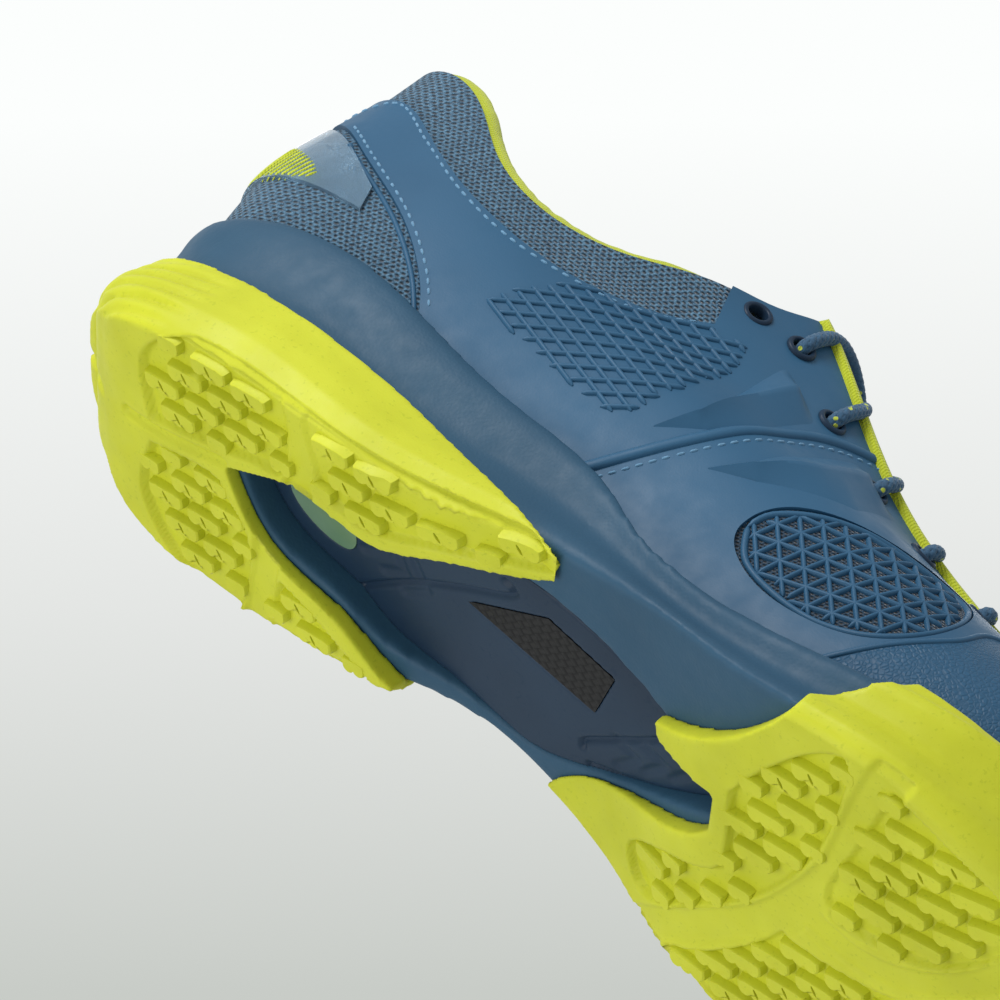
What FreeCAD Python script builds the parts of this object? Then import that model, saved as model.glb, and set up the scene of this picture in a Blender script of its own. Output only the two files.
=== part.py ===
# Court shoe for the right foot: a parametric assembly of separate pieces, in millimetres.
# Heights are measured from the ground, and x from the back of the sole towards the toe. Every finished
# piece is then placed by half the length, so that the origin is on the ground under the middle of the shoe.
# The lateral (outer) side is -Y and the medial (inner) side is +Y.
import FreeCAD, Part
import math
import os
from FreeCAD import Vector

doc = FreeCAD.newDocument("CourtShoe")

# ---- driving sizes -------------------------------------------------------------------------------
SIZES = [
    ("shoe_length", 295.0), ("ball_width", 107.0), ("shoe_height", 106.0), ("side_shift", 2.5),
    ("overlay_thickness", 1.0), ("mesh_thickness", 1.8), ("lining_thickness", 1.2),
    ("collar_foam", 3.5), ("collar_lining_thickness", 1.0), ("sole_wrap", 1.8), ("board_thickness", 2.0),
    ("fit_gap", 0.4), ("sockliner_foam_thickness", 3.6), ("sockliner_cover_thickness", 0.8),
    ("shank_thickness", 2.5), ("insert_thickness", 1.4), ("gel_thickness", 6.0),
    ("tongue_thickness", 4.2), ("tongue_width", 41.0), ("binding_width", 3.0), ("throat_width", 30.0),
    ("lace_diameter", 3.6), ("lace_gap", 1.35), ("eyelet_diameter", 5.0), ("aglet_diameter", 4.4),
    ("aglet_length", 22.0),
]
sheet = doc.addObject("Spreadsheet::Sheet", "Sizes")
for row, (alias, value) in enumerate(SIZES, start=1):
    sheet.set(f"A{row}", alias)
    sheet.set(f"B{row}", str(value))
    sheet.setAlias(f"B{row}", alias)
doc.recompute()


def size(alias):
    return float(sheet.get(alias))


# Outlines are drawn on a base last and graded to the sizes in the sheet, as a pattern maker does.
BASE_LENGTH = 295.0
BASE_WIDTH = 107.0
BASE_HEIGHT = 106.0


def along(x):
    return x * size("shoe_length") / BASE_LENGTH


def across(y):
    return y * size("ball_width") / BASE_WIDTH


def up(z):
    return z * size("shoe_height") / BASE_HEIGHT


# ---- small helpers -------------------------------------------------------------------------------
pieces = []


def keep(obj, label):
    """Name a finished piece and place it with the origin under the middle of the shoe."""
    obj.Label = label
    obj.setExpression("Placement.Base.x", "-Sizes.shoe_length / 2")
    obj.setExpression("Placement.Base.y", "Sizes.side_shift")
    pieces.append(obj)
    return obj


def boolean(kind, base, tool, name):
    obj = doc.addObject("Part::" + kind, name)
    obj.Base = base
    obj.Tool = tool
    obj.Refine = False
    return obj


def cut(base, tool, name):
    return boolean("Cut", base, tool, name)


def common(base, tool, name):
    return boolean("Common", base, tool, name)


def fuse(base, tool, name):
    return boolean("Fuse", base, tool, name)


def wire_object(edges, name):
    obj = doc.addObject("Part::Feature", name)
    obj.Shape = Part.Wire(Part.__sortEdges__(edges))
    return obj


def smooth_edge(points):
    if len(points) == 2:
        return Part.makeLine(*points)
    curve = Part.BSplineCurve()
    curve.buildFromPoles(points, False, 3)
    return curve.toShape()


def extrude(wire, direction, length, name):
    obj = doc.addObject("Part::Extrusion", name)
    obj.Base = wire
    obj.DirMode = "Custom"
    obj.Dir = direction
    obj.LengthFwd = length
    obj.Solid = True
    obj.FaceMakerClass = "Part::FaceMakerBullseye"
    return obj


DEEP = -40.0
HIGH = 170.0
WIDE = 90.0


def run_edges(runs, spot):
    """A closed outline of runs that share their ends: two points are joined straight, more smoothly."""
    edges = []
    for run in runs:
        spots = [spot(*point) for point in run]
        if len(spots) == 2:
            edges.append(Part.makeLine(*spots))
            continue
        loop = run[0] == run[-1]
        curve = Part.BSplineCurve()
        curve.interpolate(Points=spots[:-1] if loop else spots, PeriodicFlag=loop)
        edges.append(curve.toShape())
    return edges


def closed(points):
    """A run through the points and back to the first."""
    return [points + [points[0]]]


def corners(points):
    """Straight runs between the points and back to the first."""
    return [list(pair) for pair in zip(points, points[1:] + points[:1])]


def side_prism(runs, name, side=0):
    """Prism seen from the side, from points (x, z): side -1 is lateral, 1 is medial and 0 both."""
    wire = wire_object(run_edges(runs, lambda x, z: Vector(along(x), 0, up(z))), name + "Outline")
    prism = extrude(wire, Vector(0, 1, 0), WIDE if side >= 0 else 0.0, name)
    prism.LengthRev = WIDE if side <= 0 else 0.0
    return prism


def plan_prism(runs, name, low=DEEP, thickness=HIGH - DEEP):
    """Prism seen from above, from points (x, y)."""
    wire = wire_object(run_edges(runs, lambda x, y: Vector(along(x), across(y), low)), name + "Outline")
    return extrude(wire, Vector(0, 0, 1), thickness, name)


def curve_runs(points):
    """A side-view curve as a list of runs of control points; most curves are a single run."""
    runs = points if isinstance(points[0], list) else [points]
    return [[Vector(along(x), 0, up(z)) for x, z in run] for run in runs]


def height_band(low_points, high_points, name, side=0):
    """Everything between two side-view curves, given by their control points (x, z)."""
    low = curve_runs(low_points)
    high = curve_runs(high_points)
    edges = [smooth_edge(run) for run in low + high]
    edges += [Part.makeLine(low[-1][-1], high[-1][-1]), Part.makeLine(high[0][0], low[0][0])]
    wire = wire_object(edges, name + "Outline")
    prism = extrude(wire, Vector(0, 1, 0), WIDE if side >= 0 else 0.0, name)
    prism.LengthRev = WIDE if side <= 0 else 0.0
    return prism


def raised(points, rise):
    """The same side-view curve, lifted by a real distance."""
    return [(x, z + rise / up(1.0)) for x, z in points]


def height_at(points, x):
    """Height of a side-view curve at x, straight between its points."""
    for (x_a, z_a), (x_b, z_b) in zip(points, points[1:]):
        if x <= x_b:
            return z_a + (z_b - z_a) * (x - x_a) / (x_b - x_a)
    return points[-1][1]


# ---- nested volumes ------------------------------------------------------------------------------
# A volume is a stack of closed loops. Each loop has a heel point, six pairs of side points and a toe point.
# Each layer of the shoe lies between two such volumes, one of them moved inwards by the layer's thickness.
def level_points(heel, toe, stations):
    (heel_x, heel_z), (toe_x, toe_z, toe_y) = heel, toe

    def spot(x, y):
        share = (x - heel_x) / (toe_x - heel_x)
        return Vector(along(x), across(y), up(heel_z + share * (toe_z - heel_z)))

    lateral = [spot(x, -left) for x, left, right in stations]
    medial = [spot(x, right) for x, left, right in reversed(stations)]
    return [spot(heel_x, 0.0)] + lateral + [spot(toe_x, toe_y)] + medial


def moved_inwards(levels, distance):
    """Each point of the stack moved along the surface's own normal; the flat top loop shrinks evenly."""
    moved = []
    last = len(levels) - 1
    for i, level in enumerate(levels[:-1]):
        below = levels[max(i - 1, 0)]
        loop = []
        for j, point in enumerate(level):
            ring = level[(j + 1) % len(level)] - level[j - 1]
            rise = levels[i + 1][j] - below[j] if i > 0 else Vector(0, 0, 1)
            normal = rise.cross(ring)
            normal.normalize()
            loop.append(point + normal * distance)
        moved.append(loop)
    top = levels[last]
    middle_x = (min(p.x for p in top) + max(p.x for p in top)) / 2
    half_length = max(p.x for p in top) - middle_x
    half_width = max(abs(p.y) for p in top)
    share_x = 1 - distance / half_length
    share_y = 1 - distance / half_width
    moved.append([Vector(middle_x + (p.x - middle_x) * share_x, p.y * share_y, p.z) for p in top])
    return moved


def loop_parameters(level):
    """Parameters shared by all loops of a stack, so that their points stay in line."""
    lengths = [0.0]
    for a, b in zip(level, level[1:] + level[:1]):
        lengths.append(lengths[-1] + a.distanceToPoint(b))
    return [length / lengths[-1] for length in lengths]


def volume(levels, name, straight=False):
    parameters = loop_parameters(levels[1])
    sections = []
    for number, level in enumerate(levels):
        curve = Part.BSplineCurve()
        curve.interpolate(Points=level, PeriodicFlag=True, Parameters=parameters)
        section = doc.addObject("Part::Feature", f"{name}Loop{number}")
        section.Shape = Part.Wire(curve.toShape())
        sections.append(section)
    loft = doc.addObject("Part::Loft", name)
    loft.Sections = sections
    loft.Solid = True
    loft.Ruled = straight
    return loft


# ---- side-view curves of the sole ------------------------------------------------------------------
# The ground line is a list of runs, so that the heel and the forefoot stand on truly flat stretches.
GROUND = [[(-8, 17), (2, 11), (12, 3), (22, 0), (32, 0)],
          [(32, 0), (84, 0)],
          [(84, 0), (94, 0), (107, 1.5), (125, 6.5), (140, 8.6), (155, 8.2), (170, 3), (180, 0), (190, 0)],
          [(190, 0), (232, 0)],
          [(232, 0), (244, 0), (260, 4), (278, 11), (304, 22)]]
SOLE_CORE = [(-8, 20), (4, 13), (14, 6.5), (28, 3.5), (50, 3.5), (82, 3.5), (100, 6), (115, 9),
             (130, 9.6), (150, 9.4), (166, 8), (182, 4), (198, 3.5), (215, 3.5), (236, 3.5), (258, 7.5),
             (278, 14.5), (304, 25)]
FOOTBED = [(-8, 26), (30, 25), (80, 23), (120, 22), (160, 17), (200, 14.5), (235, 15), (265, 20),
           (304, 30)]
LIP = [(-8, 43.5), (15, 43.5), (42, 46.5), (69, 42), (95, 36), (118, 35.5), (132, 31), (146, 22),
       (165, 19.5), (185, 18.5), (205, 19.5), (232, 23), (262, 28), (304, 34)]
CEILING = [(-8, 150), (304, 150)]
ground_points = [point for run in GROUND for point in run]

# ---- sole volumes ----------------------------------------------------------------------------------
# The plan outline of the sole where it is widest: x, then the lateral and the medial half width.
SOLE_PLAN = [(6, 19, 18), (22, 32, 31.5), (48, 38.5, 38), (88, 39.5, 33), (125, 40.5, 30.5), (160, 46, 43),
             (195, 53.5, 51), (224, 55.8, 50), (252, 49, 43.5), (275, 36, 33.5), (289, 19.5, 24)]
SOLE_TOE_SIDE = 5.0
# How far the wall stands back from that outline, at shares of the height from the ground to the lip.
SOLE_WALL = [(0.0, 3.0), (0.08, 1.1), (0.2, 0.0), (0.32, 0.7), (0.45, 2.2), (0.58, 3.0), (0.71, 2.2),
             (0.83, 1.0), (0.93, 0.9), (1.0, 2.4)]
BELOW_SOLE = -25.0
ABOVE_SOLE = 120.0
BELOW_SOLE_SET_BACK = 5.0
ABOVE_SOLE_SET_BACK = 7.0


def sole_volume(wrap, name):
    outline = level_points((0.0, 0.0), (295.0, 0.0, SOLE_TOE_SIDE), SOLE_PLAN)
    flat = [Vector(point.x, point.y, 0) for point in outline]
    lift = Vector(0, 0, 1)

    def loop(set_back, height):
        ring = []
        for j, point in enumerate(flat):
            normal = lift.cross(flat[(j + 1) % len(flat)] - flat[j - 1])
            normal.normalize()
            spot = point + normal * (set_back + wrap)
            ring.append(Vector(spot.x, spot.y, height(point.x)))
        return ring

    def between(share):
        def height(x):
            low = height_at(ground_points, x * BASE_LENGTH / size("shoe_length"))
            high = height_at(LIP, x * BASE_LENGTH / size("shoe_length"))
            return up(low + share * (high - low))
        return height

    loops = [loop(BELOW_SOLE_SET_BACK, lambda x: up(BELOW_SOLE))]
    loops += [loop(set_back, between(share)) for share, set_back in SOLE_WALL]
    loops += [loop(ABOVE_SOLE_SET_BACK, lambda x: up(ABOVE_SOLE))]
    return volume(loops, name, straight=True)


sole_outer = sole_volume(0.0, "SoleOuter")
sole_inner = sole_volume(size("sole_wrap"), "SoleInner")

# ---- upper volumes ---------------------------------------------------------------------------------
# Each level has its heel point (x, z), its toe point (x, z, y) and its side points (x, lateral, medial).
FEATHER = [(16, 19.5, 19), (39, 30, 29.5), (90, 31, 26), (147, 34.5, 29.5), (210, 46.5, 42),
           (262, 36, 31.5)]
UPPER_LEVELS = [
    level_points((9.5, -25), (288, -25, 4), FEATHER),
    level_points((9.5, 24), (288, 30, 4), FEATHER),
    level_points((5.5, 43), (286, 43, 4), [(12.5, 21, 20), (37, 31.5, 31), (86, 35, 30.5),
                                           (143, 36.5, 32.5), (207, 44, 39), (258, 33, 28)]),
    level_points((0.5, 62), (269, 57, 3), [(8.5, 20.5, 20), (35, 32, 31.5), (82, 36, 32),
                                           (136, 36.5, 32.5), (194, 35, 31), (241, 24, 20)]),
    level_points((0.5, 80), (226, 68, 1), [(8.5, 19.5, 19.5), (33, 31, 30.5), (72, 34.5, 31.5),
                                           (114, 32, 29.5), (162, 28.5, 26), (202, 17.5, 16.5)]),
    level_points((2.5, 100), (173, 89, 0), [(9.5, 18.5, 18.5), (28, 29, 28.5), (57, 33.5, 32),
                                            (88, 31.5, 29.5), (124, 25.5, 24), (155, 16.5, 15.5)]),
    level_points((6, 126), (96, 126, 0), [(11, 15.5, 15.5), (22, 24.5, 24.5), (40, 30, 29.5),
                                          (57, 28.5, 28), (74, 23.5, 23), (88, 13.5, 13.5)]),
]


def upper_volume(depth, name):
    return volume(moved_inwards(UPPER_LEVELS, depth), name)


overlay = size("overlay_thickness")
mesh = overlay + size("mesh_thickness")
lined = mesh + size("lining_thickness")
foamed = mesh + size("collar_foam") + size("lining_thickness")
collar_lined = foamed + size("collar_lining_thickness")
lace_room = size("lace_diameter") + 2 * size("lace_gap")
tongue_top = lined + lace_room

upper_outer = upper_volume(0.0, "UpperOuter")
under_overlay = upper_volume(overlay, "UnderOverlay")
under_mesh = upper_volume(mesh, "UnderMesh")
under_lining = upper_volume(lined, "UnderLining")
under_foam = upper_volume(foamed, "UnderFoam")
under_collar_lining = upper_volume(collar_lined, "UnderCollarLining")
tongue_roof = upper_volume(tongue_top, "TongueRoof")

# ---- sole ------------------------------------------------------------------------------------------
above_footbed = height_band(FOOTBED, CEILING, "AboveFootbed")
upper_room = common(upper_outer, above_footbed, "UpperRoom")
core_band = height_band(SOLE_CORE, LIP, "CoreBand")
above_core = height_band(SOLE_CORE, CEILING, "AboveCore")
sole_core = common(sole_inner, above_core, "SoleCore")

# The open area under the arch, seen from below, between the prongs of the two outsoles.
HOLLOW_LATERAL = [(53, -7), (61, -11), (74, -16), (92, -14.5), (110, -21), (125, -26), (139, -34)]
HOLLOW_MEDIAL = [(53, -7), (57, 1), (64, 9.5), (74, 13.5), (84, 16), (92, 21), (101, 27)]
HEEL_PLAN = [HOLLOW_LATERAL, [(139, -34), (144, -70)], [(144, -70), (-20, -70)], [(-20, -70), (-20, 70)],
             [(-20, 70), (106, 70)], [(106, 70), (101, 27)], HOLLOW_MEDIAL[::-1]]
NOTCH_LATERAL = [(167, -18), (180, -27), (192, -40), (201, -56), (204, -75)]
NOTCH_MEDIAL = [(185.5, -3), (181, 2.5), (166, 11.5), (147, 21.5), (139, 31)]
FOREFOOT_PLAN = [NOTCH_LATERAL, [(204, -75), (330, -75)], [(330, -75), (330, 75)], [(330, 75), (136, 75)],
                 [(136, 75), (139, 31)], NOTCH_MEDIAL[::-1], [(185.5, -3), (185.5, -14)],
                 [(185.5, -14), (168, -14)], [(168, -14), (167, -18)]]
# How high the outsoles wrap up the wall, and the part trimmed off above a slope on one side.
HEEL_WRAP = [(-8, 26.5), (5, 26), (20, 24), (45, 23), (82, 22), (108, 16), (128, 11), (146, 5)]
HEEL_TRIM = [(44, 34), (58, 21.5), (88, 14.5), (108, 6.5), (125, 40)]
FOREFOOT_WRAP = [(130, 8), (145, 11), (165, 14), (190, 20), (215, 24.5), (240, 23), (262, 25), (282, 30),
                 (304, 35)]
FOREFOOT_TRIM = [(150, 13), (172, 9.5), (186, 5.5), (198, 5.5), (219, 30), (150, 60)]


def outsole(plan, wrap, trim, trim_side, name, label):
    below = [(wrap[0][0], DEEP), (wrap[-1][0], DEEP)]
    slab = common(sole_outer, plan_prism(plan, name + "Plan"), name + "Slab")
    wrapped = common(slab, height_band(below, wrap, name + "Wrap"), name + "Wrapped")
    cup = common(wrapped, height_band(GROUND, CEILING, name + "AboveGround"), name + "Cup")
    shell = cut(cup, sole_core, name + "Shell")
    return keep(cut(shell, side_prism(corners(trim), name + "Trim", trim_side), name), label)


outsole(HEEL_PLAN, HEEL_WRAP, HEEL_TRIM, 1, "HeelOutsole", "heel_outsole")
outsole(FOREFOOT_PLAN, FOREFOOT_WRAP, FOREFOOT_TRIM, -1, "ForefootOutsole", "forefoot_outsole")

# The stiff shank plate lies in a recess of the midsole and shows between the prongs.
SHANK_HEIGHT = 10.0
SHANK_PLAN = [[(55, -6.5), (62, -9.5), (74, -14.5), (92, -13), (110, -19), (125, -24), (148, -22), (166, -17),
               (184, -11)], [(184, -11), (184, -2.5)],
              [(184, -2.5), (166, 9.5), (147, 19.5), (134, 24.5), (111, 21.5), (92, 19), (84, 14.5), (74, 12),
               (64, 8), (58, 1), (55, -6.5)]]
INSERT_CORNERS = [(113, -5), (134, -17), (152, -13), (148, 1)]
GEL_PLAN = [(52, -2), (60, -14), (80, -17), (96, -8), (96, 6), (80, 15), (62, 11)]
LENS_PLAN = [(63, -5), (70, 5), (81, 4.5), (79, -5.5)]
shank_base = up(SHANK_HEIGHT)
shank_top = shank_base + size("shank_thickness")
recess = plan_prism(SHANK_PLAN, "ShankRecess", DEEP, shank_top - DEEP)
gel_pocket = plan_prism(closed(GEL_PLAN), "GelPocket", shank_top, size("gel_thickness"))
midsole_block = common(sole_inner, core_band, "MidsoleBlock")
midsole_cup = cut(midsole_block, upper_room, "MidsoleCup")
midsole_open = cut(midsole_cup, recess, "MidsoleOpen")
keep(cut(midsole_open, gel_pocket, "Midsole"), "midsole")

shank_blank = plan_prism(SHANK_PLAN, "ShankBlank", shank_base, size("shank_thickness"))
insert_pocket = plan_prism(corners(INSERT_CORNERS), "InsertPocket", shank_base, size("insert_thickness"))
lens_window = plan_prism(closed(LENS_PLAN), "LensWindow", shank_base, size("shank_thickness"))
shank_pocketed = cut(shank_blank, insert_pocket, "ShankPocketed")
keep(cut(shank_pocketed, lens_window, "ShankPlate"), "shank_plate")
gel_block = plan_prism(closed(GEL_PLAN), "GelBlock", shank_top, size("gel_thickness"))
gel_lens = plan_prism(closed(LENS_PLAN), "GelLens", shank_base, size("shank_thickness"))
keep(fuse(gel_block, gel_lens, "HeelGel"), "heel_gel_cushion")


def origin_plane(body, role):
    return next(plane for plane in body.Origin.OriginFeatures if plane.Role == role)


def sketched_body(label, role, offset):
    body = doc.addObject("PartDesign::Body", label.title().replace("_", ""))
    sketch = body.newObject("Sketcher::SketchObject", body.Name + "Sketch")
    sketch.AttachmentSupport = (origin_plane(body, role), [""])
    sketch.MapMode = "FlatFace"
    sketch.AttachmentOffset = FreeCAD.Placement(offset, FreeCAD.Rotation())
    return body, sketch


# The woven carbon insert is let into the underside of the shank plate.
insert_body, insert_sketch = sketched_body("carbon_insert", "XY_Plane", Vector(0, 0, shank_base))
for (x_a, y_a), (x_b, y_b) in zip(INSERT_CORNERS, INSERT_CORNERS[1:] + INSERT_CORNERS[:1]):
    side_line = Part.LineSegment(Vector(along(x_a), across(y_a), 0), Vector(along(x_b), across(y_b), 0))
    insert_sketch.addGeometry(side_line)
insert_pad = insert_body.newObject("PartDesign::Pad", "CarbonInsertPad")
insert_pad.Profile = insert_sketch
insert_pad.setExpression("Length", "Sizes.insert_thickness")
keep(insert_body, "carbon_insert")

# ---- footbed ---------------------------------------------------------------------------------------
board_top = size("board_thickness")
foam_base = board_top + size("fit_gap")
foam_top = foam_base + size("sockliner_foam_thickness")
cover_top = foam_top + size("sockliner_cover_thickness")
board_band = height_band(FOOTBED, raised(FOOTBED, board_top), "BoardBand")
keep(common(under_lining, board_band, "StrobelBoard"), "strobel_board")
SOCKLINER_PLAN = [(19, 0), (23, -9.7), (33, -16), (60, -18.6), (92, -18.8), (147, -25), (205, -37), (232, -35),
                  (256, -26), (272, -12), (277, 3), (271, 17), (256, 22), (232, 29.5), (205, 32), (170, 26),
                  (147, 20.2), (92, 15.4), (60, 18), (33, 15.6), (23, 9.3)]
sockliner_prism = plan_prism(closed(SOCKLINER_PLAN), "SocklinerPlan")
foam_band = height_band(raised(FOOTBED, foam_base), raised(FOOTBED, foam_top), "FoamBand")
cover_band = height_band(raised(FOOTBED, foam_top), raised(FOOTBED, cover_top), "CoverBand")
keep(common(sockliner_prism, foam_band, "SocklinerFoam"), "sockliner_foam")
keep(common(sockliner_prism, cover_band, "SocklinerCover"), "sockliner_cover")

# ---- openings of the upper -------------------------------------------------------------------------
# The foot opening seen from the side, and the throat under the laces seen from above.
TOPLINE = [(-20, 111), (4, 110.5), (18, 108.5), (34, 100.5), (50, 88.5), (66, 84), (83, 87), (97, 94),
           (107, 100), (116, 106), (124, 118), (128, 145)]
foot_opening = side_prism([TOPLINE, [(128, 145), (-20, 145)], [(-20, 145), (-20, 111)]], "FootOpening")
half_throat = size("throat_width") / 2
THROAT_REAR = 95.0
THROAT_FRONT = 223.0
THROAT_AXIS = -0.7
THROAT_TAPER = 2.5
throat_tip = Vector(along(THROAT_FRONT), THROAT_AXIS, DEEP)


def throat_side(side):
    """The rear corner of the throat on one side, and the point where its round front end starts."""
    half_front = half_throat - THROAT_TAPER
    rear_corner = Vector(along(THROAT_REAR), THROAT_AXIS + side * half_throat, DEEP)
    return rear_corner, Vector(throat_tip.x - half_front, THROAT_AXIS + side * half_front, DEEP)


lateral_rear, lateral_front = throat_side(-1)
medial_rear, medial_front = throat_side(1)
throat_edges = [
    Part.makeLine(lateral_rear, lateral_front),
    Part.Arc(lateral_front, throat_tip, medial_front).toShape(),
    Part.makeLine(medial_front, medial_rear),
    Part.makeLine(medial_rear, lateral_rear),
]
throat = extrude(wire_object(throat_edges, "ThroatOutline"), Vector(0, 0, 1), HIGH - DEEP, "Throat")
openings = fuse(foot_opening, throat, "Openings")


# ---- layers of the upper ---------------------------------------------------------------------------
def open_shell(outside, inside, floor, name):
    """The layer between two volumes, above the footbed and clear of the foot opening and the throat."""
    layer = cut(outside, inside, name + "Layer")
    standing = common(layer, floor, name + "Standing")
    return cut(standing, openings, name)


above_board = height_band(raised(FOOTBED, board_top), CEILING, "AboveBoard")
overlay_shell = open_shell(upper_outer, under_overlay, above_footbed, "OverlayShell")
mesh_shell = open_shell(under_overlay, under_mesh, above_footbed, "MeshShell")
lining_shell = open_shell(under_mesh, under_lining, above_footbed, "LiningShell")
foam_shell = open_shell(under_lining, under_foam, above_board, "FoamShell")
collar_shell = open_shell(under_foam, under_collar_lining, above_board, "CollarShell")

# The rear third holds the heel counter, the collar foam and the collar lining; the rest has a thin lining.
JOIN = 112.0
TOE_BOX = 250.0
COUNTER_TOP = [(-20, 60), (8, 60), (30, 57), (55, 46), (75, 30), (80, 0)]


def span(x_from, x_to, name):
    return side_prism(corners([(x_from, DEEP), (x_to, DEEP), (x_to, HIGH), (x_from, HIGH)]), name)


rear = span(-20, JOIN, "RearSpan")
counter_zone = side_prism([COUNTER_TOP, [(80, 0), (-20, 0)], [(-20, 0), (-20, 60)]], "CounterZone")
keep(common(lining_shell, counter_zone, "HeelCounter"), "heel_counter")
collar_zone_inner = cut(rear, counter_zone, "AnkleZone")
keep(common(lining_shell, collar_zone_inner, "AnkleBacking"), "ankle_backing")
keep(common(foam_shell, rear, "CollarFoam"), "collar_foam")
keep(common(collar_shell, rear, "CollarLining"), "collar_lining")
keep(common(lining_shell, span(TOE_BOX, 310, "ToeSpan"), "ToePuff"), "toe_puff")

# ---- eyelets and lace ------------------------------------------------------------------------------
# One eyelet pair per row, the top pair unused: the place on the outside of the lateral side and of the
# medial side, and the way out of the surface there.
EYELETS = [
    ((114.5, -25.2, 98.7), (114.5, 23.8, 98.7), (0.2, 0.93, 0.3)),
    ((126, -22.2, 99.9), (126, 20.8, 100.2), (0.25, 0.9, 0.38)),
    ((144, -22.2, 88.0), (144, 20.8, 89.6), (0.3, 0.83, 0.5)),
    ((162, -21.2, 79.9), (162, 19.8, 81.5), (0.3, 0.72, 0.6)),
    ((180, -21.2, 73.2), (180, 19.8, 73.9), (0.25, 0.6, 0.75)),
    ((198, -20.2, 68.9), (198, 18.8, 69.0), (0.25, 0.45, 0.87)),
    ((216, -20.2, 65.0), (216, 18.8, 64.5), (0.2, 0.4, 0.88)),
]
EYELET_REACH = 14.0


def eyelet_cutter(row, side):
    spot = EYELETS[row][0 if side < 0 else 1]
    lean_x, lean_y, lean_z = EYELETS[row][2]
    outwards = Vector(lean_x, side * lean_y, lean_z)
    outwards.normalize()
    centre = Vector(along(spot[0]), across(spot[1]), up(spot[2]))
    cutter = doc.addObject("Part::Cylinder", f"Eyelet{row}{'Medial' if side > 0 else 'Lateral'}")
    cutter.setExpression("Radius", "Sizes.eyelet_diameter / 2")
    cutter.Height = EYELET_REACH
    turn = FreeCAD.Rotation(Vector(0, 0, 1), outwards)
    cutter.Placement = FreeCAD.Placement(centre - outwards * (EYELET_REACH / 2), turn)
    return cutter


eyelet_cutters = doc.addObject("Part::Compound", "EyeletCutters")
eyelet_cutters.Links = [eyelet_cutter(row, side) for row in range(len(EYELETS)) for side in (-1, 1)]


def with_eyelets(base, name):
    return cut(base, eyelet_cutters, name)


vamp_lining = common(lining_shell, span(JOIN, TOE_BOX, "VampSpan"), "VampLiningPlain")
keep(with_eyelets(vamp_lining, "VampLining"), "vamp_lining")

# ---- knit and mesh layer ---------------------------------------------------------------------------
COLLAR_SEAM = [(-20, 95), (2, 95), (16, 94), (33, 85), (51, 76), (70, 72), (91, 74), (103, 80),
               (112, 87)]
COLLAR_FRONT = [(112, 87), (106, 101)]
QUARTER_REAR = [(-20, 87), (2, 86), (12, 81), (26, 72), (46, 61), (60, 51), (70, 40), (74, 24)]
collar_zone = side_prism([COLLAR_SEAM, COLLAR_FRONT, [(106, 101), (106, 150)], [(106, 150), (-20, 150)],
                          [(-20, 150), (-20, 95)]], "CollarZone")
heel_zone = side_prism([QUARTER_REAR, [(74, 24), (74, 0)], [(74, 0), (-20, 0)], [(-20, 0), (-20, 87)]],
                       "HeelZone")
keep(common(mesh_shell, collar_zone, "CollarKnit"), "collar_knit")
keep(common(mesh_shell, heel_zone, "HeelKnit"), "heel_knit")
fore_mesh = cut(cut(mesh_shell, collar_zone, "MeshNoCollar"), heel_zone, "VampMeshPlain")
keep(with_eyelets(fore_mesh, "VampMesh"), "vamp_mesh")

# ---- overlays --------------------------------------------------------------------------------------
FRONT_SEAM = [(121, 20), (124, 34), (136, 53), (142, 65), (150, 83), (157, 92), (168, 112)]
TOE_EDGE = [(184, 5), (188, 18), (198, 30), (208, 43), (210, 54), (219, 65), (234, 84)]
WINDOW = [(156, 42), (158, 49), (167, 57), (180, 62.5), (198, 63), (205, 52), (204, 40), (195, 31),
          (181, 28.5), (163, 33)]
QUARTER_RUNS = [QUARTER_REAR, [(74, 24), (74, 0)], [(74, 0), (121, 0)], [(121, 0), (121, 20)], FRONT_SEAM,
                [(168, 112), (168, 150)], [(168, 150), (106, 150)], [(106, 150), (106, 101)],
                COLLAR_FRONT[::-1], COLLAR_SEAM[::-1], [(-20, 95), (-20, 87)]]
VAMP_RUNS = [FRONT_SEAM, [(168, 112), (234, 112)], [(234, 112), (234, 84)], TOE_EDGE[::-1],
             [(184, 5), (184, 0)], [(184, 0), (121, 0)], [(121, 0), (121, 20)]]
SIDES = {"lateral": -1, "medial": 1}
for word, side in SIDES.items():
    title = word.title()
    quarter_zone = side_prism(QUARTER_RUNS, "QuarterZone" + title, side)
    quarter = common(overlay_shell, quarter_zone, "QuarterPlain" + title)
    keep(with_eyelets(quarter, "Quarter" + title), "quarter_overlay_" + word)
    vamp_zone = side_prism(VAMP_RUNS, "VampZone" + title, side)
    window = side_prism(closed(WINDOW), "Window" + title, side)
    vamp = common(overlay_shell, cut(vamp_zone, window, "VampFrame" + title), "VampPlain" + title)
    keep(with_eyelets(vamp, "Vamp" + title), "vamp_overlay_" + word)

toe_zone = side_prism([TOE_EDGE, [(234, 84), (234, 150)], [(234, 150), (310, 150)], [(310, 150), (310, 0)],
                       [(310, 0), (184, 0)], [(184, 0), (184, 5)]], "ToeZone")
keep(common(overlay_shell, toe_zone, "ToeGuard"), "toe_guard")
PATCH = [[(-20, 57), (17, 58.5), (38, 57)], [(38, 57), (35, 64)], [(35, 64), (18, 75), (9, 80), (-20, 82)],
         [(-20, 82), (-20, 57)]]
keep(common(overlay_shell, side_prism(PATCH, "PatchZone"), "HeelPatch"), "heel_patch")

# ---- tongue ----------------------------------------------------------------------------------------
half_tongue = size("tongue_width") / 2
TONGUE_REAR = 117.0
TONGUE_FRONT = 228.0
TONGUE_CORNER = 9.0


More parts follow.
